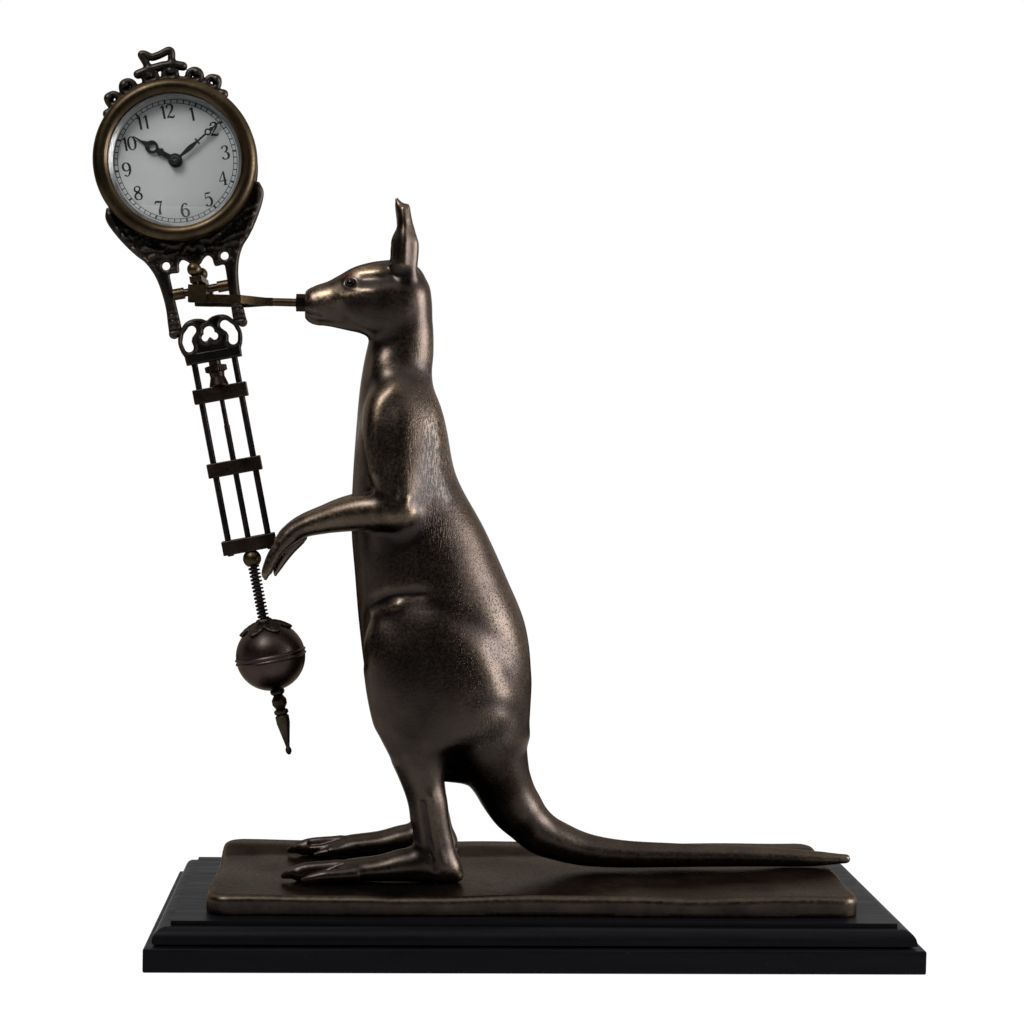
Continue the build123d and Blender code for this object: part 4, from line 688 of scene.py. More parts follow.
def kangaroo(p):
    """The animal's field: its forms joined one after another, then its ears, the strokes and the eyes."""
    q = np.column_stack([p[:, 0], np.abs(p[:, 1]), p[:, 2]])
    f = np.full(len(p), 30.0)
    for read, rows, soft, both in FORMS:
        from_side = q if both else p
        low, high = reach_of(read, rows)
        near = within(from_side, low - FORM_REACH, high + FORM_REACH)
        if isinstance(soft, tuple):
            soft = soft[2] + (soft[3] - soft[2]) * eased(from_side[near][:, 0], soft[0], soft[1])
        f[near] = blend(f[near], read(from_side[near], rows), soft)
    low, high = reach_of(limb, EAR_ROWS)
    near = within(q, low - EAR_REACH, high + EAR_REACH)
    ear = limb(q[near], EAR_ROWS)
    ear = -blend(-ear, limb(q[near], CUP_ROWS), 0.8)
    f[near] = blend(f[near], ear, 3.0)
    for line, plane, width, lift, start, end in STROKES:
        flat = np.array(line)
        third = 3 - sum(plane)
        low, high = np.zeros(3), np.zeros(3)
        low[list(plane)], high[list(plane)] = flat.min(0) - 3 * width, flat.max(0) + 3 * width
        low[third], high[third] = start, end
        near = within(q, low, high)
        gap = polyline_gap(q[near][:, plane[0]], q[near][:, plane[1]], line)
        fade = np.clip((q[near][:, third] - start) / 3, 0, 1)
        f[near] -= lift * np.exp(-((gap / width) ** 2)) * fade
    near = within(q, EYE - 9, EYE + 9)
    away = q[near] - EYE
    along = away @ EYE_ALONG
    over = away @ EYE_OVER
    lids = np.hypot(along / LID_LONG, over / LID_HIGH)
    f[near] += 0.75 * np.exp(-((np.hypot(along, over) / SOCKET_R) ** 2))
    f[near] -= 0.35 * np.exp(-(((lids - 1.4) / 0.5) ** 2)) * (away[:, 1] > -4)
    slit = np.maximum(np.linalg.norm(away, axis=1) - EYE_R - 0.05, (lids - 1) * 2)
    f[near] = -blend(-f[near], slit, 0.3)
    near = within(q, NOSTRIL - 5, NOSTRIL + 5)
    f[near] += 1.3 * np.exp(-((np.linalg.norm((q[near] - NOSTRIL) * (1, 0.8, 1.3), axis=1) / 1.4) ** 2))
    f = np.maximum(f, GROUND - 0.6 - p[:, 2])
    return np.where(p[:, 2] > CHIN_LOW, np.maximum(f, NOSE_END - p[:, 0]), f)


# Where the skin is made finer, in metres: less than this x and between two heights. Head, hands and toes.
FINE_SKIN = ((-0.045, 0.262, 1.0), (-0.1, 0.15, 1.0), (-0.074, -1.0, 0.045))


def in_fine_skin(place):
    """Whether a place is on the head, a hand or the toes."""
    return any(place.x < x and low < place.z < high for x, low, high in FINE_SKIN)


points, quads = skin_of(kangaroo, (-121, -38, GROUND - 3), (148, 38, 324), 1.2)
mesh = plain_mesh("kangaroo", settle(kangaroo, points), quads)
work = bmesh.new()
work.from_mesh(mesh)
fine = [e for e in work.edges if all(in_fine_skin(v.co) for v in e.verts)]
bmesh.ops.subdivide_edges(work, edges=fine, cuts=1, use_grid_fill=True)
bmesh.ops.triangulate(work, faces=[f for f in work.faces if len(f.verts) > 4])
work.to_mesh(mesh)
work.free()
points = np.zeros(len(mesh.vertices) * 3)
mesh.vertices.foreach_get("co", points)
points = settle(kangaroo, points.reshape(-1, 3) * 1000)
mesh.vertices.foreach_set("co", (points / 1000).ravel())
shade_soft(mesh)
mark_wear(mesh, 0.5, 5)
folded = np.column_stack([points[:, 0], np.abs(points[:, 1]), points[:, 2]])

# Where the head is rubbed bright, partly as a painted highlight: the muzzle, the brow and the cheek, each
# with its reach.
RUBBED_AND_HIGHLIT = (
    ((-93, 8, 276.4), (6, 12, 4)), ((-76, 8, 287.6), (6, 12, 2.4)), ((-79.5, 10, 277.6), (5, 12, 1.6)),
)


def patch(spot, reach):
    """How near each point is to the middle of a soft oval patch, the same on both sides."""
    return np.exp(-((((folded - spot) / reach) ** 2).sum(1)))


facing = np.zeros(len(points) * 3)
mesh.vertices.foreach_get("normal", facing)
marks = {}
for name in ("wear_and_highlight", "grime_and_shade"):
    marks[name] = np.zeros(len(points))
    mesh.attributes[name].data.foreach_get("value", marks[name])
# Painted shade: the skin is darkened on faces turned down, and the more the lower it lies, and its rubbed
# wear is lessened low down too.
SHADE_FROM, SHADE_TO = 150, 30
shade_low_down = np.clip((SHADE_FROM - points[:, 2]) / (SHADE_FROM - SHADE_TO), 0, 1)
painted_shade_below = np.clip(0.2 - facing[2::3], 0, 1) + 0.9 * shade_low_down
marks["grime_and_shade"] = np.maximum(marks["grime_and_shade"], np.clip(0.6 * painted_shade_below, 0, 0.8))
marks["wear_and_highlight"] *= (1 - patch(EYE, (5, 9, 4))) * (1 - 0.6 * shade_low_down)
# Painted highlight, partly rubbed wear: the muzzle, brow and cheek are brightened.
rubbed_and_highlit = sum(patch(*spot) for spot in RUBBED_AND_HIGHLIT)
marks["wear_and_highlight"] = np.clip(marks["wear_and_highlight"] + rubbed_and_highlit * (1 - patch(EYE, (3, 9, 2.4))), 0, 1)
marks["fur"] = np.maximum(patch((-42, 14, 212), (12, 24, 34)), patch((-21, 24, 92), (8, 14, 7)))
marks["pitting"] = patch((-14, 18, 138), (18, 28, 34))
marks["stain"] = patch(EYE + (-1.4, 0, 3.2), (2.4, 6, 1.6))
for name, values in marks.items():
    layer = mesh.attributes.get(name) or mesh.attributes.new(name, "FLOAT", "POINT")
    layer.data.foreach_set("value", values.astype(np.float32))
bronze_skin, tree, shader, skin = patinated(
    "kangaroo_bronze", (0.019, 0.0132, 0.0118), (0.048, 0.0342, 0.029), (0.34, 0.245, 0.15),
    scale=55, wear_and_highlight=0.6, rough=0.34, relief=0.2, wax=0.2,
)
hairy, pitted, stained = (
    add_node(tree, "ShaderNodeAttribute", attribute_name=name).outputs["Fac"]
    for name in ("fur", "pitting", "stain")
)
strokes = noise_at(tree, 1500, 2, (1, 1, 0.18), (0, 0.12, 0))
furrows = multiply(tree, ramp(tree, strokes, 0.36, 0.52, 1, 0), hairy)
pits = multiply(tree, ramp(tree, noise_at(tree, 1300, 1), 0.59, 0.67), pitted)
hollows = reckon(tree, "MAXIMUM", furrows, pits)
plain = shader.inputs["Normal"].links[0].from_socket
tone = mix_colour(tree, multiply(tree, hollows, 0.85), skin["Color"], (0.003, 0.0025, 0.0025, 1))
tone = mix_colour(tree, multiply(tree, stained, 0.75), tone, (0.05, 0.005, 0.004, 1))
feed(tree, shader, Base_Color=tone, Normal=bumped(tree, hollows, 0.55, 0.0005, True, Normal=plain))
stand_up("kangaroo", mesh, bronze_skin, "stand", "cast_bronze", "torso", "head", "left_ear", "right_ear",
         "left_arm", "right_arm", "left_leg", "right_leg", "tail")
eye_glass = mottled(
    "eye_glass", 900, 3, (0.002, 0.0015, 0.0012), (0.008, 0.004, 0.0025),
    Roughness=0.08, Specular_IOR_Level=0.14,
)
dress(eye_glass, "eyes")


# Hanger.
# A dark collar on the stud in the animal's nose, then a forked bracket of dull brass whose two tines carry
# the cups in which the pendulum's screws stand. Turned and filed from the bar, left to tarnish.
dull_brass = patinated(
    "dull_brass", (0.022, 0.0155, 0.009), (0.08, 0.053, 0.026), (0.32, 0.21, 0.1),
    scale=80, wear_and_highlight=0.8, rough=0.38, relief=0.15,
)[0]
dark_collar = patinated(
    "dark_collar", (0.006, 0.005, 0.004), (0.016, 0.0125, 0.009), (0.2, 0.14, 0.07),
    scale=80, wear_and_highlight=0.6, rough=0.4, relief=0.15,
)[0]
dress(dull_brass, "hanger_fork")
dress(dark_collar, "hanger_collar")

# Pendulum frame.
# One bronze casting carries the clock: a ring behind the bezel, a shield below it with a raised border and a
# stippled field, and two ridged uprights with curled feet. Black patina, hardly rubbed.
swing = next(j for j in frame["joints"] if j["name"] == "pendulum_swing")
REST_TILT = math.radians(11.5)
HANG = Matrix.Translation(swing["pos_m"]) @ Matrix.Rotation(-REST_TILT, 4, "Y")
CLOCK_UP = 55.5
DRUM_R = 32.0
FRAME_T = 5.2


def outline_gap(u, v, outline):
    """Distance to a closed outline in a plane, less than zero inside it."""
    loop = list(outline) + [outline[0]]
    inside = np.zeros(len(u), bool)
    for (ax, ay), (bx, by) in zip(loop[:-1], loop[1:]):
        if ay != by:
            inside ^= ((ay > v) != (by > v)) & (u < (bx - ax) * (v - ay) / (by - ay) + ax)
    gap = polyline_gap(u, v, loop)
    return np.where(inside, -gap, gap)


def plate(flat, depth, half, edge):
    """A flat form given thickness, with its edges rounded off."""
    return shared(flat, np.abs(depth) - half, edge)


def cast_piece(name, field, low, high, step, wear_reach):
    """A casting of the pendulum from its field, hung in its place."""
    points, quads = skin_of(field, low, high, step)
    mesh = plain_mesh(name, settle(field, points), quads)
    mark_wear(mesh, wear_reach, 4)
    mesh.transform(HANG)
    return mesh


SHIELD_SIDE = (
    (33.2, 41), (34.2, 37), (32.8, 32.4), (28.9, 25.4), (24.6, 19.4), (21.2, 15.6), (18.6, 10.6), (17, 4.4),
    (16.2, -4.4), (16.6, -12), (16.8, -15.6),
)
WINDOW_SIDE = (
    (12, -17.6), (11.2, -15), (11.6, -4), (12, 7.2), (11.4, 9), (7.9, 9.1), (7.2, 12.4), (5.6, 14), (3.6, 13),
    (2, 11.2), (0, 10.2),
)
BORDER = ((32, 38), (30.4, 32), (26.6, 25.2), (22, 18.6), (18.6, 13), (15.6, 5), (14.2, -4), (14.2, -13))
LEAVES = (
    ((27, 22.5), (22, 21), (17.5, 20.6), (13, 19)), ((20, 16.4), (16, 17.6), (11, 16.6), (7, 17.4)),
    ((4.5, 17), (2.5, 19.6), (0, 18)), ((12, 22.4), (8, 20.4), (4, 21)), ((29.6, 31.6), (26.4, 30.8)),
    ((28, 28), (24.6, 27)),
)
# Curled feet and open holes: distance across, height and radius.
FOOT_CURL, FRAME_HOLE = (14.9, -16.6, 2.1), (12.7, 12.6, 1.75)
dots = np.random.default_rng(7).uniform((-28, 9), (28, 34), (420, 2))


def frame_field(p):
    """Shield, ring and uprights, with relief on both faces."""
    u, v = np.abs(p[:, 0]), p[:, 2]
    sides = smooth_rows(SHIELD_SIDE, 60).tolist() + smooth_rows(WINDOW_SIDE, 60).tolist()
    flat = outline_gap(u, v, sides + [(-3, 10.2), (-3, CLOCK_UP)])
    curl = np.hypot(u - FOOT_CURL[0], v - FOOT_CURL[1])
    flat = np.minimum(flat, curl - FOOT_CURL[2])
    round_clock = np.hypot(u, v - CLOCK_UP)
    flat = np.minimum(flat, np.abs(round_clock - DRUM_R - 1.3) - 1.2)
    flat = np.maximum(flat, DRUM_R + 0.1 - round_clock)
    flat = np.maximum(flat, FRAME_HOLE[2] - np.hypot(u - FRAME_HOLE[0], v - FRAME_HOLE[1]))
    half = np.full(len(p), FRAME_T / 2 - 0.75)
    half += 0.75 * np.exp(-((polyline_gap(u, v, BORDER) / 1.3) ** 2))
    for leaf in LEAVES:
        half += 0.55 * np.exp(-((polyline_gap(u, v, leaf) / 0.8) ** 2))
    half += 0.25 * np.exp(-((curl / 1.2) ** 2))
    half += 0.18 * np.sin(v * 2.6) * np.clip((-6 - v) / 2, 0, 1)
    near = within(p, (-30, -9, 8), (30, 9, 35))
    if len(near):
        spot = np.full(len(near), 9.0)
        for x, z in dots:
            spot = np.minimum(spot, (p[near, 0] - x) ** 2 + (p[near, 2] - z) ** 2)
        half[near] += 0.3 * np.exp(-spot / 0.45)
    return plate(flat, p[:, 1], half, 1.1)


black_bronze = patinated(
    "black_bronze", (0.009, 0.0078, 0.0076), (0.025, 0.02, 0.018), (0.14, 0.108, 0.08),
    scale=90, wear_and_highlight=0.5, rough=0.42, relief=0.3,
)[0]
mesh = cast_piece("frame_casting", frame_field, (-37, -4, -20.5), (37, 4, 92), 0.5, 0.3)
stand_up("frame_casting", mesh, black_bronze, "pendulum", "black_bronze", "clock_frame")

# Crest.
# A separate casting over the ring: a cord of rolled lobes with open holes, an end curl on each side, and a
# bent bow of ribbon on top. The same black patina as the frame.
CREST_SEAT, CREST_BORE, CREST_END = 34.9, 34.6, 45.0
# Lobes of the crest: degrees from the top, radius and height over the seat.
CREST_LOBES = ((6.5, 2.4, 2.2), (22.5, 2.6, 2.4), (35, 2.4, 2.2))
BOW = (
    (-4.2, 96.5), (-5.2, 99.8), (-6.2, 102.7), (-4.6, 102.6), (-2.2, 101), (0.4, 101.2), (2.8, 101.8),
    (5.4, 102.6), (6.5, 101.8), (6.1, 99), (5.7, 96.5),
)
SASH = ((-9.2, 94.8), (-4, 96), (2, 96.6), (6.5, 96.4), (10.2, 95))


def crest_field(p):
    """Lobes, band, end curls and bow as rolled cords."""
    u, v, w = p[:, 0], p[:, 2], p[:, 1]
    away, angle = np.hypot(u, v - CLOCK_UP), np.degrees(np.arctan2(u, v - CLOCK_UP))
    band = np.where(np.abs(angle) < CREST_END, np.abs(away - CREST_SEAT - 0.2), 9.0)
    f = np.hypot(band, w * 0.85) - 1.5
    for at, reach, up in CREST_LOBES:
        for side in (-1, 1):
            turn = math.radians(side * at)
            x, z = (CREST_SEAT + up) * math.sin(turn), CLOCK_UP + (CREST_SEAT + up) * math.cos(turn)
            ring = np.abs(np.hypot(u - x, v - z) - reach)
            f = blend(f, np.hypot(ring, w * 0.8) - 1.5, 0.7)
            knob = np.hypot(u - x * 1.09, v - z - 0.035 * (z - CLOCK_UP))
            f = blend(f, np.hypot(knob, w * 0.8) - 2.1, 0.8)
    for side in (-1, 1):
        turn = math.radians(side * CREST_END)
        x, z = (CREST_SEAT + 0.4) * math.sin(turn), CLOCK_UP + (CREST_SEAT + 0.4) * math.cos(turn)
        f = blend(f, np.hypot(np.hypot(u - x, v - z), w * 0.9) - 2.1, 0.8)
    bow = polyline_gap(u, v, smooth_rows(BOW, 60).tolist())
    f = blend(f, np.hypot(bow, w * 0.75) - 1.6, 1.0)
    sash = polyline_gap(u, v, SASH)
    f = blend(f, np.hypot(sash, w * 0.8) - 1.9, 0.8)
    return np.maximum(f, CREST_BORE - away)


mesh = cast_piece("crest_casting", crest_field, (-31, -3.2, 78), (31, 3.2, 107), 0.42, 0.3)
stand_up("crest_casting", mesh, black_bronze, "pendulum", "black_bronze", "crest")

# Scroll plate.
# A pierced casting between the feet of the uprights: two arched scrolls with tilted oval openings, a trefoil
# between them, and a square foot that takes the tops of the gridiron's rods.
SCROLL_SIDE = (
    (0, -13.4), (2.4, -12.1), (5.8, -11.7), (9, -12.6), (11.4, -15), (13.2, -18), (13.8, -21.4),
    (13.2, -25), (12.2, -27.2),
)
OPENING = ((7.2, -16.4), (9.2, -18.4), (10.1, -21), (9.6, -23.4))
SCROLL_FOOT_TOP, SCROLL_FOOT_T = -26.6, 4.4


def scroll_field(p):
    """The plate's outline, less its openings, with raised rims."""
    u, v = np.abs(p[:, 0]), p[:, 2]
    outline = smooth_rows(SCROLL_SIDE, 60).tolist() + [(12, -31), (-3, -31), (-3, -13.4)]
    flat = outline_gap(u, v, outline)
    open_side = polyline_gap(u, v, OPENING) - 2.0
    trefoil = np.minimum(np.hypot(u, v + 18.2) - 2.4, np.hypot(u - 2.0, v + 20.4) - 1.6)
    trefoil = np.maximum(trefoil, 1.3 - np.hypot(u, v + 22.2))
    flat = np.maximum(flat, -open_side)
    flat = np.maximum(flat, -trefoil)
    half = 1.75 + 0.5 * np.exp(-(((open_side - 1.1) / 0.7) ** 2))
    half += 0.4 * np.exp(-(((trefoil - 1.0) / 0.7) ** 2))
    half = np.where(v < SCROLL_FOOT_TOP, SCROLL_FOOT_T / 2, half)
    return plate(flat, p[:, 1], half, 0.8)


mesh = cast_piece("scroll_casting", scroll_field, (-15.5, -3.6, -33), (15.5, 3.6, -9.5), 0.36, 0.25)
stand_up("scroll_casting", mesh, black_bronze, "pendulum", "black_bronze", "scroll_plate")

# Suspension.
# A dark round bar between the uprights with a brass bush at each end, and on it a yoke whose two pointed
# screws stand in the fork's cups. Brass, tarnished brown.
dress(dull_brass, "bar_bushes", "pivot_screws", "suspension_yoke")
dark_bronze = patinated(
    "dark_bronze", (0.014, 0.0098, 0.008), (0.05, 0.0335, 0.025), (0.22, 0.145, 0.09),
    scale=80, wear_and_highlight=0.7, rough=0.4, relief=0.2,
)[0]
dress(dark_bronze, "cross_bar")

# Gridiron.
# Two black rods and a stepped centre rod held by three brown bars, with an urn-shaped nut on top, whose
# collar is knurled for the fingers, and a brass bead nut below.
SOCKETS = {int: "NodeSocketInt", float: "NodeSocketFloat", tuple: "NodeSocketVector"}


def grown(name, sizes, build, finish):
    """A plain mesh grown by Geometry Nodes: build makes the geometry from the named inputs."""
    tree = bpy.data.node_groups.new(name, "GeometryNodeTree")
    tree.interface.new_socket("Geometry", in_out="OUTPUT", socket_type="NodeSocketGeometry")
    for key, value in sizes.items():
        tree.interface.new_socket(key, in_out="INPUT", socket_type=SOCKETS[type(value)])
    shape = build(tree, tree.nodes.new("NodeGroupInput").outputs)
    shape = add_node(tree, "GeometryNodeRealizeInstances", {"Geometry": shape}).outputs[0]
    shape = add_node(tree, "GeometryNodeSetMaterial", {"Geometry": shape, "Material": finish}).outputs[0]
    feed(tree, tree.nodes.new("NodeGroupOutput"), Geometry=shape)
    holder = add_object(name, bpy.data.meshes.new(name))
    grow = holder.modifiers.new("grow", "NODES")
    grow.node_group = tree
    for item in tree.interface.items_tree:
        if item.in_out == "INPUT":
            grow[item.identifier] = sizes[item.name]
    mesh = bpy.data.meshes.new_from_object(holder.evaluated_get(bpy.context.evaluated_depsgraph_get()))
    holder.modifiers.remove(grow)
    bpy.data.objects.remove(holder)
    return mesh


def row_round(tree, given, piece):
    """Copies of a piece on a ring, each turned to face outward."""
    ring = add_node(
        tree, "GeometryNodeMeshCircle", {"Vertices": given["Count"], "Radius": given["Ring radius"]}
    )
    place = add_node(tree, "GeometryNodeInputPosition").outputs[0]
    turn = add_node(tree, "FunctionNodeAlignRotationToVector", {"Vector": place}, axis="X").outputs[0]
    return add_node(
        tree, "GeometryNodeInstanceOnPoints", {"Points": ring.outputs[0], "Instance": piece, "Rotation": turn}
    ).outputs[0]


def ridges(tree, given):
    """Round ridges standing in a ring."""
    ridge = add_node(
        tree, "GeometryNodeMeshCylinder",
        {"Vertices": 8, "Radius": given["Ridge radius"], "Depth": given["Height"]},
    )
    return row_round(tree, given, ridge.outputs["Mesh"])


dress(dark_bronze, "upper_bar", "middle_bar", "lower_bar", "urn_nut")
dress(black_bronze, "left_rod", "right_rod", "centre_rod")
dress(dull_brass, "bead_nut")
KNURL_COUNT, KNURL_R, KNURL_RIDGE_R, KNURL_MID, KNURL_H = 34, 4.45, 0.3, -34.3, 2.2
mesh = grown("urn_knurl", {
    "Count": KNURL_COUNT, "Ring radius": KNURL_R / 1000, "Ridge radius": KNURL_RIDGE_R / 1000,
    "Height": KNURL_H / 1000,
}, ridges, dark_bronze)
mesh.transform(HANG @ Matrix.Translation((0, 0, KNURL_MID / 1000)))
stand_up("urn_knurl", mesh, dark_bronze, "pendulum", "copper_brown")

# Rating spring.
# A black steel coil round the rod between the bead nut and the ball. It keeps the ball down on its nut. On
# the clock its lower end goes up and down with the ball; here the coil is made once, at rest.
SPRING_TOP, SPRING_LOW, SPRING_TURNS, SPRING_R, SPRING_WIRE_R = -121.4, -144.2, 14.0, 2.15, 0.42


def coil(tree, given):
    """Round wire along a spiral of even radius."""
    line = add_node(tree, "GeometryNodeCurveSpiral", {
        "Resolution": 18, "Rotations": given["Turns"], "Start Radius": given["Radius"],
        "End Radius": given["Radius"], "Height": given["Height"],
    }).outputs[0]
    wire = add_node(
        tree, "GeometryNodeCurvePrimitiveCircle", {"Resolution": 7, "Radius": given["Wire radius"]}
    )
    return add_node(
        tree, "GeometryNodeCurveToMesh", {"Curve": line, "Profile Curve": wire.outputs[0], "Fill Caps": True}
    ).outputs[0]


mesh = grown("rating_coil", {
    "Turns": SPRING_TURNS, "Radius": SPRING_R / 1000, "Height": (SPRING_TOP - SPRING_LOW) / 1000,
    "Wire radius": SPRING_WIRE_R / 1000,
}, coil, black_bronze)
mesh.transform(HANG @ Matrix.Translation((0, 0, SPRING_LOW / 1000)))
shade_soft(mesh)
spring = add_object("rating_coil", mesh)
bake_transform(spring)
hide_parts("rating_spring")

# Ball, calyx and finial.
# A turned copper-brown ball with a double ridge at its equator, under a cap of six cast leaves with curled
# tips. The finial below is the nut that sets its height.
BALL_Z, BALL_R, CALYX_NECK_R, CALYX_NECK_H, ROD_HOLE_R = -161.2, 15.0, 3.2, 1.7, 1.5
LEAF_COUNT, LEAF_END, LEAF_NOTCH, LEAF_MID, LEAF_T = 6, math.radians(46), math.radians(15), 0.55, 0.9


def calyx_field(p):
    """Leaves lying on the ball, curled at their tips, and the neck in their middle."""
    q = p - np.array((0, 0, BALL_Z))
    away = np.linalg.norm(q, axis=1)
    fall = np.arccos(np.clip(q[:, 2] / np.maximum(away, 1e-6), -1, 1))
    lobe = np.sin(np.arctan2(q[:, 0], -q[:, 1]) * LEAF_COUNT / 2)
    end = LEAF_END - LEAF_NOTCH * (1 - np.abs(lobe) ** 1.3)
    curl = 0.12 * np.clip((fall - LEAF_END + 0.2) / 0.2, 0, 1.2) ** 2
    vein = 0.35 * np.exp(-(((1 - np.abs(lobe)) / 0.12) ** 2)) - 0.3 * np.exp(-((lobe / 0.25) ** 2))
    ripple = 0.04 * np.sin(fall * 46)
    thick = np.abs(away - BALL_R - LEAF_MID - curl) - LEAF_T / 2 - vein - ripple
    leaf = shared(thick, (fall - end) * BALL_R, 0.3)
    round_rod = np.hypot(p[:, 0], p[:, 1])
    neck = shared(round_rod - CALYX_NECK_R, np.abs(p[:, 2] - BALL_Z - BALL_R) - CALYX_NECK_H, 0.4)
    return np.maximum(blend(leaf, neck, 0.8), ROD_HOLE_R - round_rod)


copper_ball = patinated(
    "copper_ball", (0.02, 0.0138, 0.0125), (0.044, 0.0295, 0.0255), (0.22, 0.14, 0.08),
    scale=60, wear_and_highlight=0.6, rough=0.4, relief=0.1, wax=0.15,
)[0]
dark_brass = patinated(
    "dark_brass", (0.012, 0.009, 0.0065), (0.038, 0.028, 0.018), (0.2, 0.14, 0.075),
    scale=80, wear_and_highlight=0.8, rough=0.4, relief=0.15,
)[0]
RIDGE_AT, RIDGE_R, RIDGE_UP = 0.85, 0.42, 0.6


def turned(name, profile, count):
    """A ring turned on the upright axis from a closed profile of radius and height."""
    rings = np.linspace(0, 2 * math.pi, count, endpoint=False)
    points = [(r * math.cos(a), r * math.sin(a), z) for a in rings for r, z in profile]
    size = len(profile)
    faces = []
    for i in range(count):
        for j in range(size):
            here, far = i * size, (i + 1) % count * size
            faces.append((here + j, here + (j + 1) % size, far + (j + 1) % size, far + j))
    return plain_mesh(name, points, faces)


start = math.asin(ROD_HOLE_R / BALL_R)
profile = []
for fall in np.linspace(start, math.pi - start, 140):
    z = BALL_R * math.cos(fall)
    ridge = sum(RIDGE_UP * math.exp(-(((z - side * RIDGE_AT) / RIDGE_R) ** 2)) for side in (-1, 1))
    profile.append((BALL_R * math.sin(fall) + ridge, BALL_Z + z))
mesh = turned("ball_turning", profile, 84)
mark_wear(mesh, 1.6, 3)
mesh.transform(HANG)
stand_up("ball_turning", mesh, copper_ball, "bob", "copper_brown", "ball")
dress(dark_brass, "finial")
mesh = cast_piece("calyx_leaves", calyx_field, (-13, -13, BALL_Z + 7), (13, 13, BALL_Z + 19), 0.36, 0.25)
stand_up("calyx_leaves", mesh, black_bronze, "bob", "black_bronze", "calyx")

# Movement.
# The train, its two plates and pillars are stamped and turned brass behind the dial, seen only with the back
# cover off. The cover screws are plain steel.
gilt = patinated(
    "movement_brass", (0.3, 0.21, 0.09), (0.5, 0.36, 0.16), (0.7, 0.5, 0.25),
    scale=120, wear_and_highlight=0.5, rough=0.3, relief=0.1,
)[0]
dress(gilt, "cannon_pinion", "minute_wheel", "hour_wheel", "mainspring_barrel", "centre_wheel", "third_wheel",
      "escape_wheel", "impulse_pendulum", "front_plate", "back_plate", "pillars")
dress(steel, "cover_screws")

# Clock case.
# A spun brass drum with a broad rolled bezel, a back cover with a fluted knob and a butterfly key, all toned
# brown. A bevelled ring of silvered metal stands between the glass and the dial.
old_brass = patinated(
    "antique_brass", (0.026, 0.0175, 0.009), (0.064, 0.044, 0.0235), (0.3, 0.21, 0.1),
    scale=70, wear_and_highlight=0.7, rough=0.38, relief=0.12,
)[0]
dress(old_brass, "case_drum", "bezel", "back_cover", "winding_key", "setting_knob")
silver = mottled(
    "silvered_ring", 300, 4, (0.2, 0.2, 0.2), (0.36, 0.36, 0.36), (0.25, 0.42), Metallic=1.0
)
dress(silver, "sight_ring")

# Dial.
# A painted disc, grey-white and a little mottled, printed in black with a railway minute track and upright
# figures drawn with thick and thin strokes.
paint = mottled(
    "dial_paint", 200, 5, (0.298, 0.311, 0.308), (0.349, 0.363, 0.36), Roughness=0.55, Specular_IOR_Level=0.3
)
dress(paint, "dial")
ink = mottled(
    "hand_black", 500, 4, (0.003, 0.003, 0.003), (0.01, 0.01, 0.01), Roughness=0.4, Specular_IOR_Level=0.3
)
PRINT_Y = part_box("dial")[0][1] * 1000 - 0.03
TRACK_OUT, TRACK_IN, TRACK_LINE, TICK_T = 26.0, 24.5, 0.26, 0.02
NUMERAL_AT, NUMERAL_GAP, NUMERAL_SIZE = 21.1, 2.8, np.array((1.4, 1.2))
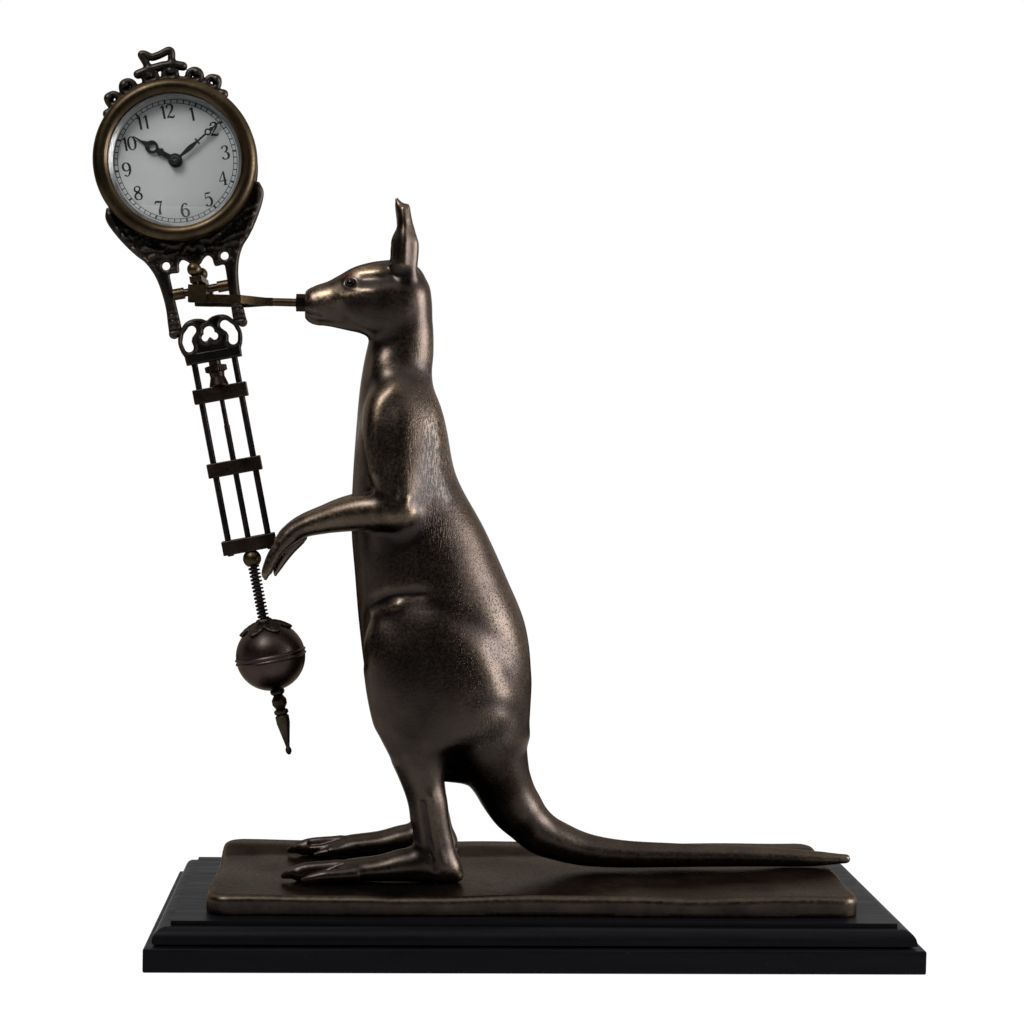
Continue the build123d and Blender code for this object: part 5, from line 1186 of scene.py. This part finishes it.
# Strokes of the figures: x, height and half width along each stroke. A figure is 4.8 tall here and is drawn
# larger by NUMERAL_SIZE.
FIGURES = {
    "0": [((0, 2.4, 0.1), (-0.8, 1.6, 0.26), (-1.05, 0, 0.36), (-0.8, -1.6, 0.26), (0, -2.4, 0.1),
           (0.8, -1.6, 0.26), (1.05, 0, 0.36), (0.8, 1.6, 0.26), (0, 2.4, 0.1))],
    "1": [((0.1, 2.4, 0.3), (0.1, 0, 0.32), (0.1, -2.4, 0.32)),
          ((0.1, 2.35, 0.14), (-0.4, 1.8, 0.12), (-0.8, 1.6, 0.08))],
    "2": [((-0.8, 1.3, 0.34), (-0.6, 2.05, 0.2), (0.05, 2.38, 0.14), (0.8, 2, 0.3), (0.95, 1.2, 0.36),
           (0.55, 0.2, 0.28), (-0.3, -1, 0.14), (-1, -2, 0.12)),
          ((-1.1, -2.25, 0.12), (-0.5, -1.95, 0.24), (0.2, -2.15, 0.3), (0.8, -2.3, 0.22),
           (1.15, -1.6, 0.1))],
    "3": [((-0.8, 1.5, 0.3), (-0.4, 2.2, 0.14), (0.2, 2.36, 0.12), (0.8, 1.9, 0.28), (0.8, 1.1, 0.3),
           (0.3, 0.35, 0.14), (-0.2, 0.2, 0.08)),
          ((-0.2, 0.2, 0.08), (0.5, 0.05, 0.14), (1, -0.8, 0.36), (0.8, -1.9, 0.28), (0.1, -2.38, 0.12),
           (-0.65, -2.1, 0.2), (-0.9, -1.5, 0.3))],
    "4": [((0.45, 2.4, 0.16), (0.45, 0, 0.3), (0.45, -2.4, 0.3)),
          ((0.45, 2.4, 0.1), (-0.4, 0.8, 0.09), (-1.2, -0.85, 0.08)),
          ((-1.25, -0.9, 0.1), (0, -0.9, 0.1), (1.15, -0.9, 0.1)),
          ((-0.15, -2.4, 0.1), (0.45, -2.35, 0.12), (1.05, -2.4, 0.1))],
    "5": [((-0.65, 2.3, 0.14), (0.1, 2.15, 0.26), (0.9, 2.4, 0.1)),
          ((-0.7, 2.3, 0.09), (-0.76, 1.3, 0.08), (-0.85, 0.3, 0.08)),
          ((-0.85, 0.3, 0.08), (-0.2, 0.8, 0.12), (0.6, 0.5, 0.26), (0.95, -0.6, 0.36), (0.65, -1.9, 0.28),
           (0, -2.38, 0.12), (-0.65, -2.15, 0.18), (-0.9, -1.6, 0.3))],
    "6": [((0.8, 1.75, 0.26), (0.4, 2.28, 0.12), (-0.2, 2.2, 0.14), (-0.8, 1.2, 0.28), (-1.05, -0.4, 0.36),
           (-0.8, -1.8, 0.28), (0, -2.38, 0.12), (0.8, -1.8, 0.26), (1, -0.8, 0.32), (0.7, 0.1, 0.24),
           (0, 0.5, 0.12), (-0.7, 0.05, 0.1), (-1, -0.6, 0.1))],
    "7": [((-1.05, 1.5, 0.1), (-0.9, 2.1, 0.2), (-0.3, 2.25, 0.3), (0.5, 2, 0.24), (1.1, 2.35, 0.1)),
          ((1.1, 2.35, 0.08), (0.4, 0.6, 0.16), (0, -0.9, 0.28), (-0.1, -2.4, 0.36))],
    "8": [((0, 0.25, 0.2), (-0.75, 0.9, 0.26), (-0.7, 1.9, 0.2), (0, 2.38, 0.1), (0.7, 1.9, 0.2),
           (0.7, 1, 0.2), (0, 0.25, 0.26), (-0.8, -0.5, 0.24), (-1, -1.4, 0.28), (-0.6, -2.2, 0.18),
           (0, -2.38, 0.1), (0.65, -2.2, 0.18), (0.95, -1.4, 0.3), (0.75, -0.5, 0.26), (0, 0.25, 0.2))],
}
FIGURES["9"] = [[(-x, -z, w) for x, z, w in stroke] for stroke in FIGURES["6"]]


def ribbon(work, stroke, x, z):
    """A flat stroke of changing width, facing the front of the dial."""
    rows = smooth_rows(stroke, 7 * len(stroke))
    run = np.gradient(rows[:, :2], axis=0)
    run /= np.maximum(np.linalg.norm(run, axis=1), 1e-9)[:, None]
    side = np.stack([-run[:, 1], run[:, 0]], 1) * (1.25 * rows[:, 2:] + 0.08)
    line = rows[:, :2] * NUMERAL_SIZE + (x, z)
    rim = [
        [work.verts.new((u / 1000, PRINT_Y / 1000, v / 1000)) for u, v in edge]
        for edge in (line + side, line - side)
    ]
    for i in range(len(rows) - 1):
        work.faces.new((rim[1][i], rim[1][i + 1], rim[0][i + 1], rim[0][i]))


def track_line(work, radius):
    """A thin printed circle about the dial's middle."""
    turns = np.linspace(0, 2 * math.pi, 145)[:-1]
    rims = []
    for r in (radius - TRACK_LINE / 2, radius + TRACK_LINE / 2):
        spots = [(r * math.sin(a), PRINT_Y, CLOCK_UP + r * math.cos(a)) for a in turns]
        rims.append([work.verts.new(Vector(s) / 1000) for s in spots])
    for i in range(len(turns)):
        j = (i + 1) % len(turns)
        work.faces.new((rims[0][i], rims[1][i], rims[1][j], rims[0][j])[::-1])


def ticks(tree, given):
    """Flat bars in a ring, pointing outward."""
    bar = add_node(tree, "GeometryNodeMeshCube", {"Size": given["Size"]})
    return row_round(tree, given, bar.outputs["Mesh"])


work = bmesh.new()
on_dial = Matrix.Translation((0, PRINT_Y / 1000, CLOCK_UP / 1000)) @ Matrix.Rotation(math.pi / 2, 4, "X")
for count, wide in ((60, 0.4), (12, 0.75)):
    row = grown("minute_ticks", {
        "Count": count, "Ring radius": (TRACK_OUT + TRACK_IN) / 2000,
        "Size": ((TRACK_OUT - TRACK_IN) / 1000, wide / 1000, TICK_T / 1000),
    }, ticks, ink)
    row.transform(on_dial)
    work.from_mesh(row)
for radius in (TRACK_OUT, TRACK_IN):
    track_line(work, radius)
for hour in range(1, 13):
    turn = math.radians(30 * hour)
    figures = str(hour)
    for i, figure in enumerate(figures):
        x = NUMERAL_AT * math.sin(turn) + NUMERAL_GAP * (i - (len(figures) - 1) / 2)
        for stroke in FIGURES[figure]:
            ribbon(work, stroke, x, CLOCK_UP + NUMERAL_AT * math.cos(turn))
mesh = bpy.data.meshes.new("dial_print")
work.to_mesh(mesh)
work.free()
mesh.transform(HANG)
stand_up("dial_print", mesh, ink, "pendulum", "hand_black")

# Hands.
# Stamped steel, blackened. The minute hand is a leaf with a cross bar and a small ring before its tip, the
# hour hand a stout stem with a pierced moon. Both have a large round boss under a closed nut.
dress(ink, "minute_hand", "hour_hand", "hand_nut")

# Glass.
# A domed crystal of clear glass before the dial and the hands, held in the bezel. It keeps a soft reflection
# of the room.
glass, tree, shader = new_finish("crystal_glass", Roughness=0.0, Transmission_Weight=1.0, IOR=1.45)
clear = add_node(tree, "ShaderNodeBsdfTransparent")
seen = add_node(tree, "ShaderNodeLightPath")
both = add_node(
    tree, "ShaderNodeMixShader", {0: seen.outputs["Is Shadow Ray"], 1: shader.outputs[0], 2: clear.outputs[0]}
)
feed(tree, tree.nodes["Material Output"], Surface=both.outputs[0])
dress(glass, "crystal")


# Floor, light and camera.
# A plain pale table under a soft window to the upper left and another on the right. Dark cards stand behind
# the camera, to the left and far behind, and cards lie on the table before and behind the clock, which is why
# metal that faces them looks deep brown. The cards are hidden from the camera and cast no shadow, so they are
# only painted dark reflections in the metal.
def place_lamp(name, spot, aim, size, watts):
    """A soft square lamp aimed at a point."""
    lamp = bpy.data.lights.new(name, "AREA")
    lamp.size, lamp.energy = size, watts
    made = add_object(name, lamp)
    made.location = spot
    made.rotation_euler = (Vector(aim) - Vector(spot)).to_track_quat("-Z", "Y").to_euler()


def flat_sheet(name, centre, across, up):
    """A flat four-cornered sheet in metres."""
    centre, across, up = Vector(centre), Vector(across), Vector(up)
    corners = [centre - across - up, centre + across - up, centre + across + up, centre - across + up]
    mesh = bpy.data.meshes.new(name)
    mesh.from_pydata([tuple(c) for c in corners], [], [(0, 1, 2, 3)])
    return add_object(name, mesh)


def plain_card(name, grey):
    """A dull card of one grey."""
    card, _, shader = new_finish(name, Roughness=1.0, Specular_IOR_Level=0.0)
    shader.inputs["Base Color"].default_value = (grey, grey, grey, 1)
    return card


def background_rays(tree):
    """One where a ray shows the background: seen by the camera, mirrored or through glass."""
    path = add_node(tree, "ShaderNodeLightPath").outputs
    shown = path["Is Camera Ray"]
    for kind in ("Is Glossy Ray", "Is Transmission Ray"):
        shown = reckon(tree, "MAXIMUM", shown, path[kind])
    return shown


floor = flat_sheet("floor", (0, 0, -0.0002), (4, 0, 0), (0, 4, 0))
pale, tree, shader = new_finish("pale_table", Roughness=0.7, Specular_IOR_Level=0.1)
shader.inputs["Base Color"].default_value = (0.8, 0.8, 0.8, 1)
lit = add_node(tree, "ShaderNodeEmission", {"Color": (1, 1, 1, 1), "Strength": 1.05})
share = multiply(tree, background_rays(tree), 0.96)
both = add_node(tree, "ShaderNodeMixShader", {0: share, 1: shader.outputs[0], 2: lit.outputs[0]})
feed(tree, tree.nodes["Material Output"], Surface=both.outputs[0])
floor.data.materials.append(pale)
dark, dim = plain_card("dark_card", 0.01), plain_card("grey_card", 0.6)
# Painted reflections: these cards show only in reflections, never to the camera or in shadows.
for sheet, finish in (
    (flat_sheet("dark_room", (-0.4, -1.6, 0.9), (1.9, 0, 0), (0, 0, 0.95)), dark),
    (flat_sheet("dark_wall", (-1.5, -0.6, 0.7), (0, 1.0, 0), (0, 0, 0.8)), dark),
    (flat_sheet("dark_floor", (-0.1, 0.95, 0.001), (1.3, 0, 0), (0, 0.55, 0)), dark),
    (flat_sheet("dark_back", (-0.1, 1.5, 0.1), (0.9, 0, 0), (0, 0, 0.1)), dark),
    (flat_sheet("dark_top", (-0.1, 1.5, 0.93), (0.6, 0, 0), (0, 0, 0.27)), dark),
    (flat_sheet("grey_apron", (-0.1, -0.95, 0.001), (1.3, 0, 0), (0, 0.6, 0)), dim),
):
    sheet.data.materials.append(finish)
    sheet.visible_camera = False
    sheet.visible_shadow = False

world = bpy.data.worlds.new("studio")
bpy.context.scene.world = world
world.use_nodes = True
tree = world.node_tree
sky = tree.nodes["Background"]
sky.inputs["Color"].default_value = (1, 1, 1, 1)
feed(tree, sky, Strength=ramp(tree, background_rays(tree), 0, 1, 0.4, 1.0))
place_lamp("window", (-0.55, -0.6, 1.1), (-0.05, 0, 0.2), 0.4, 10)
place_lamp("side_window", (0.86, -0.16, 0.32), (-0.03, 0, 0.18), 0.5, 13)

camera = bpy.data.cameras.new("camera")
camera.sensor_width, camera.lens = 36.0, 67.55
CAMERA_AT = (-0.06358, -0.83729, 0.22351)
yaw, pitch, roll = (math.radians(a) for a in (3.611, 2.605, -1.176))
right = Vector((math.cos(yaw), -math.sin(yaw), 0))
ahead = Vector((math.sin(yaw) * math.cos(pitch), math.cos(yaw) * math.cos(pitch), -math.sin(pitch)))
up = right.cross(ahead)
turn = Matrix((
    math.cos(roll) * right - math.sin(roll) * up, math.sin(roll) * right + math.cos(roll) * up, -ahead
))
eye = add_object("camera", camera)
eye.matrix_world = Matrix.Translation(CAMERA_AT) @ turn.transposed().to_4x4()
bpy.context.scene.camera = eye
bpy.context.scene.view_settings.view_transform = "Standard"
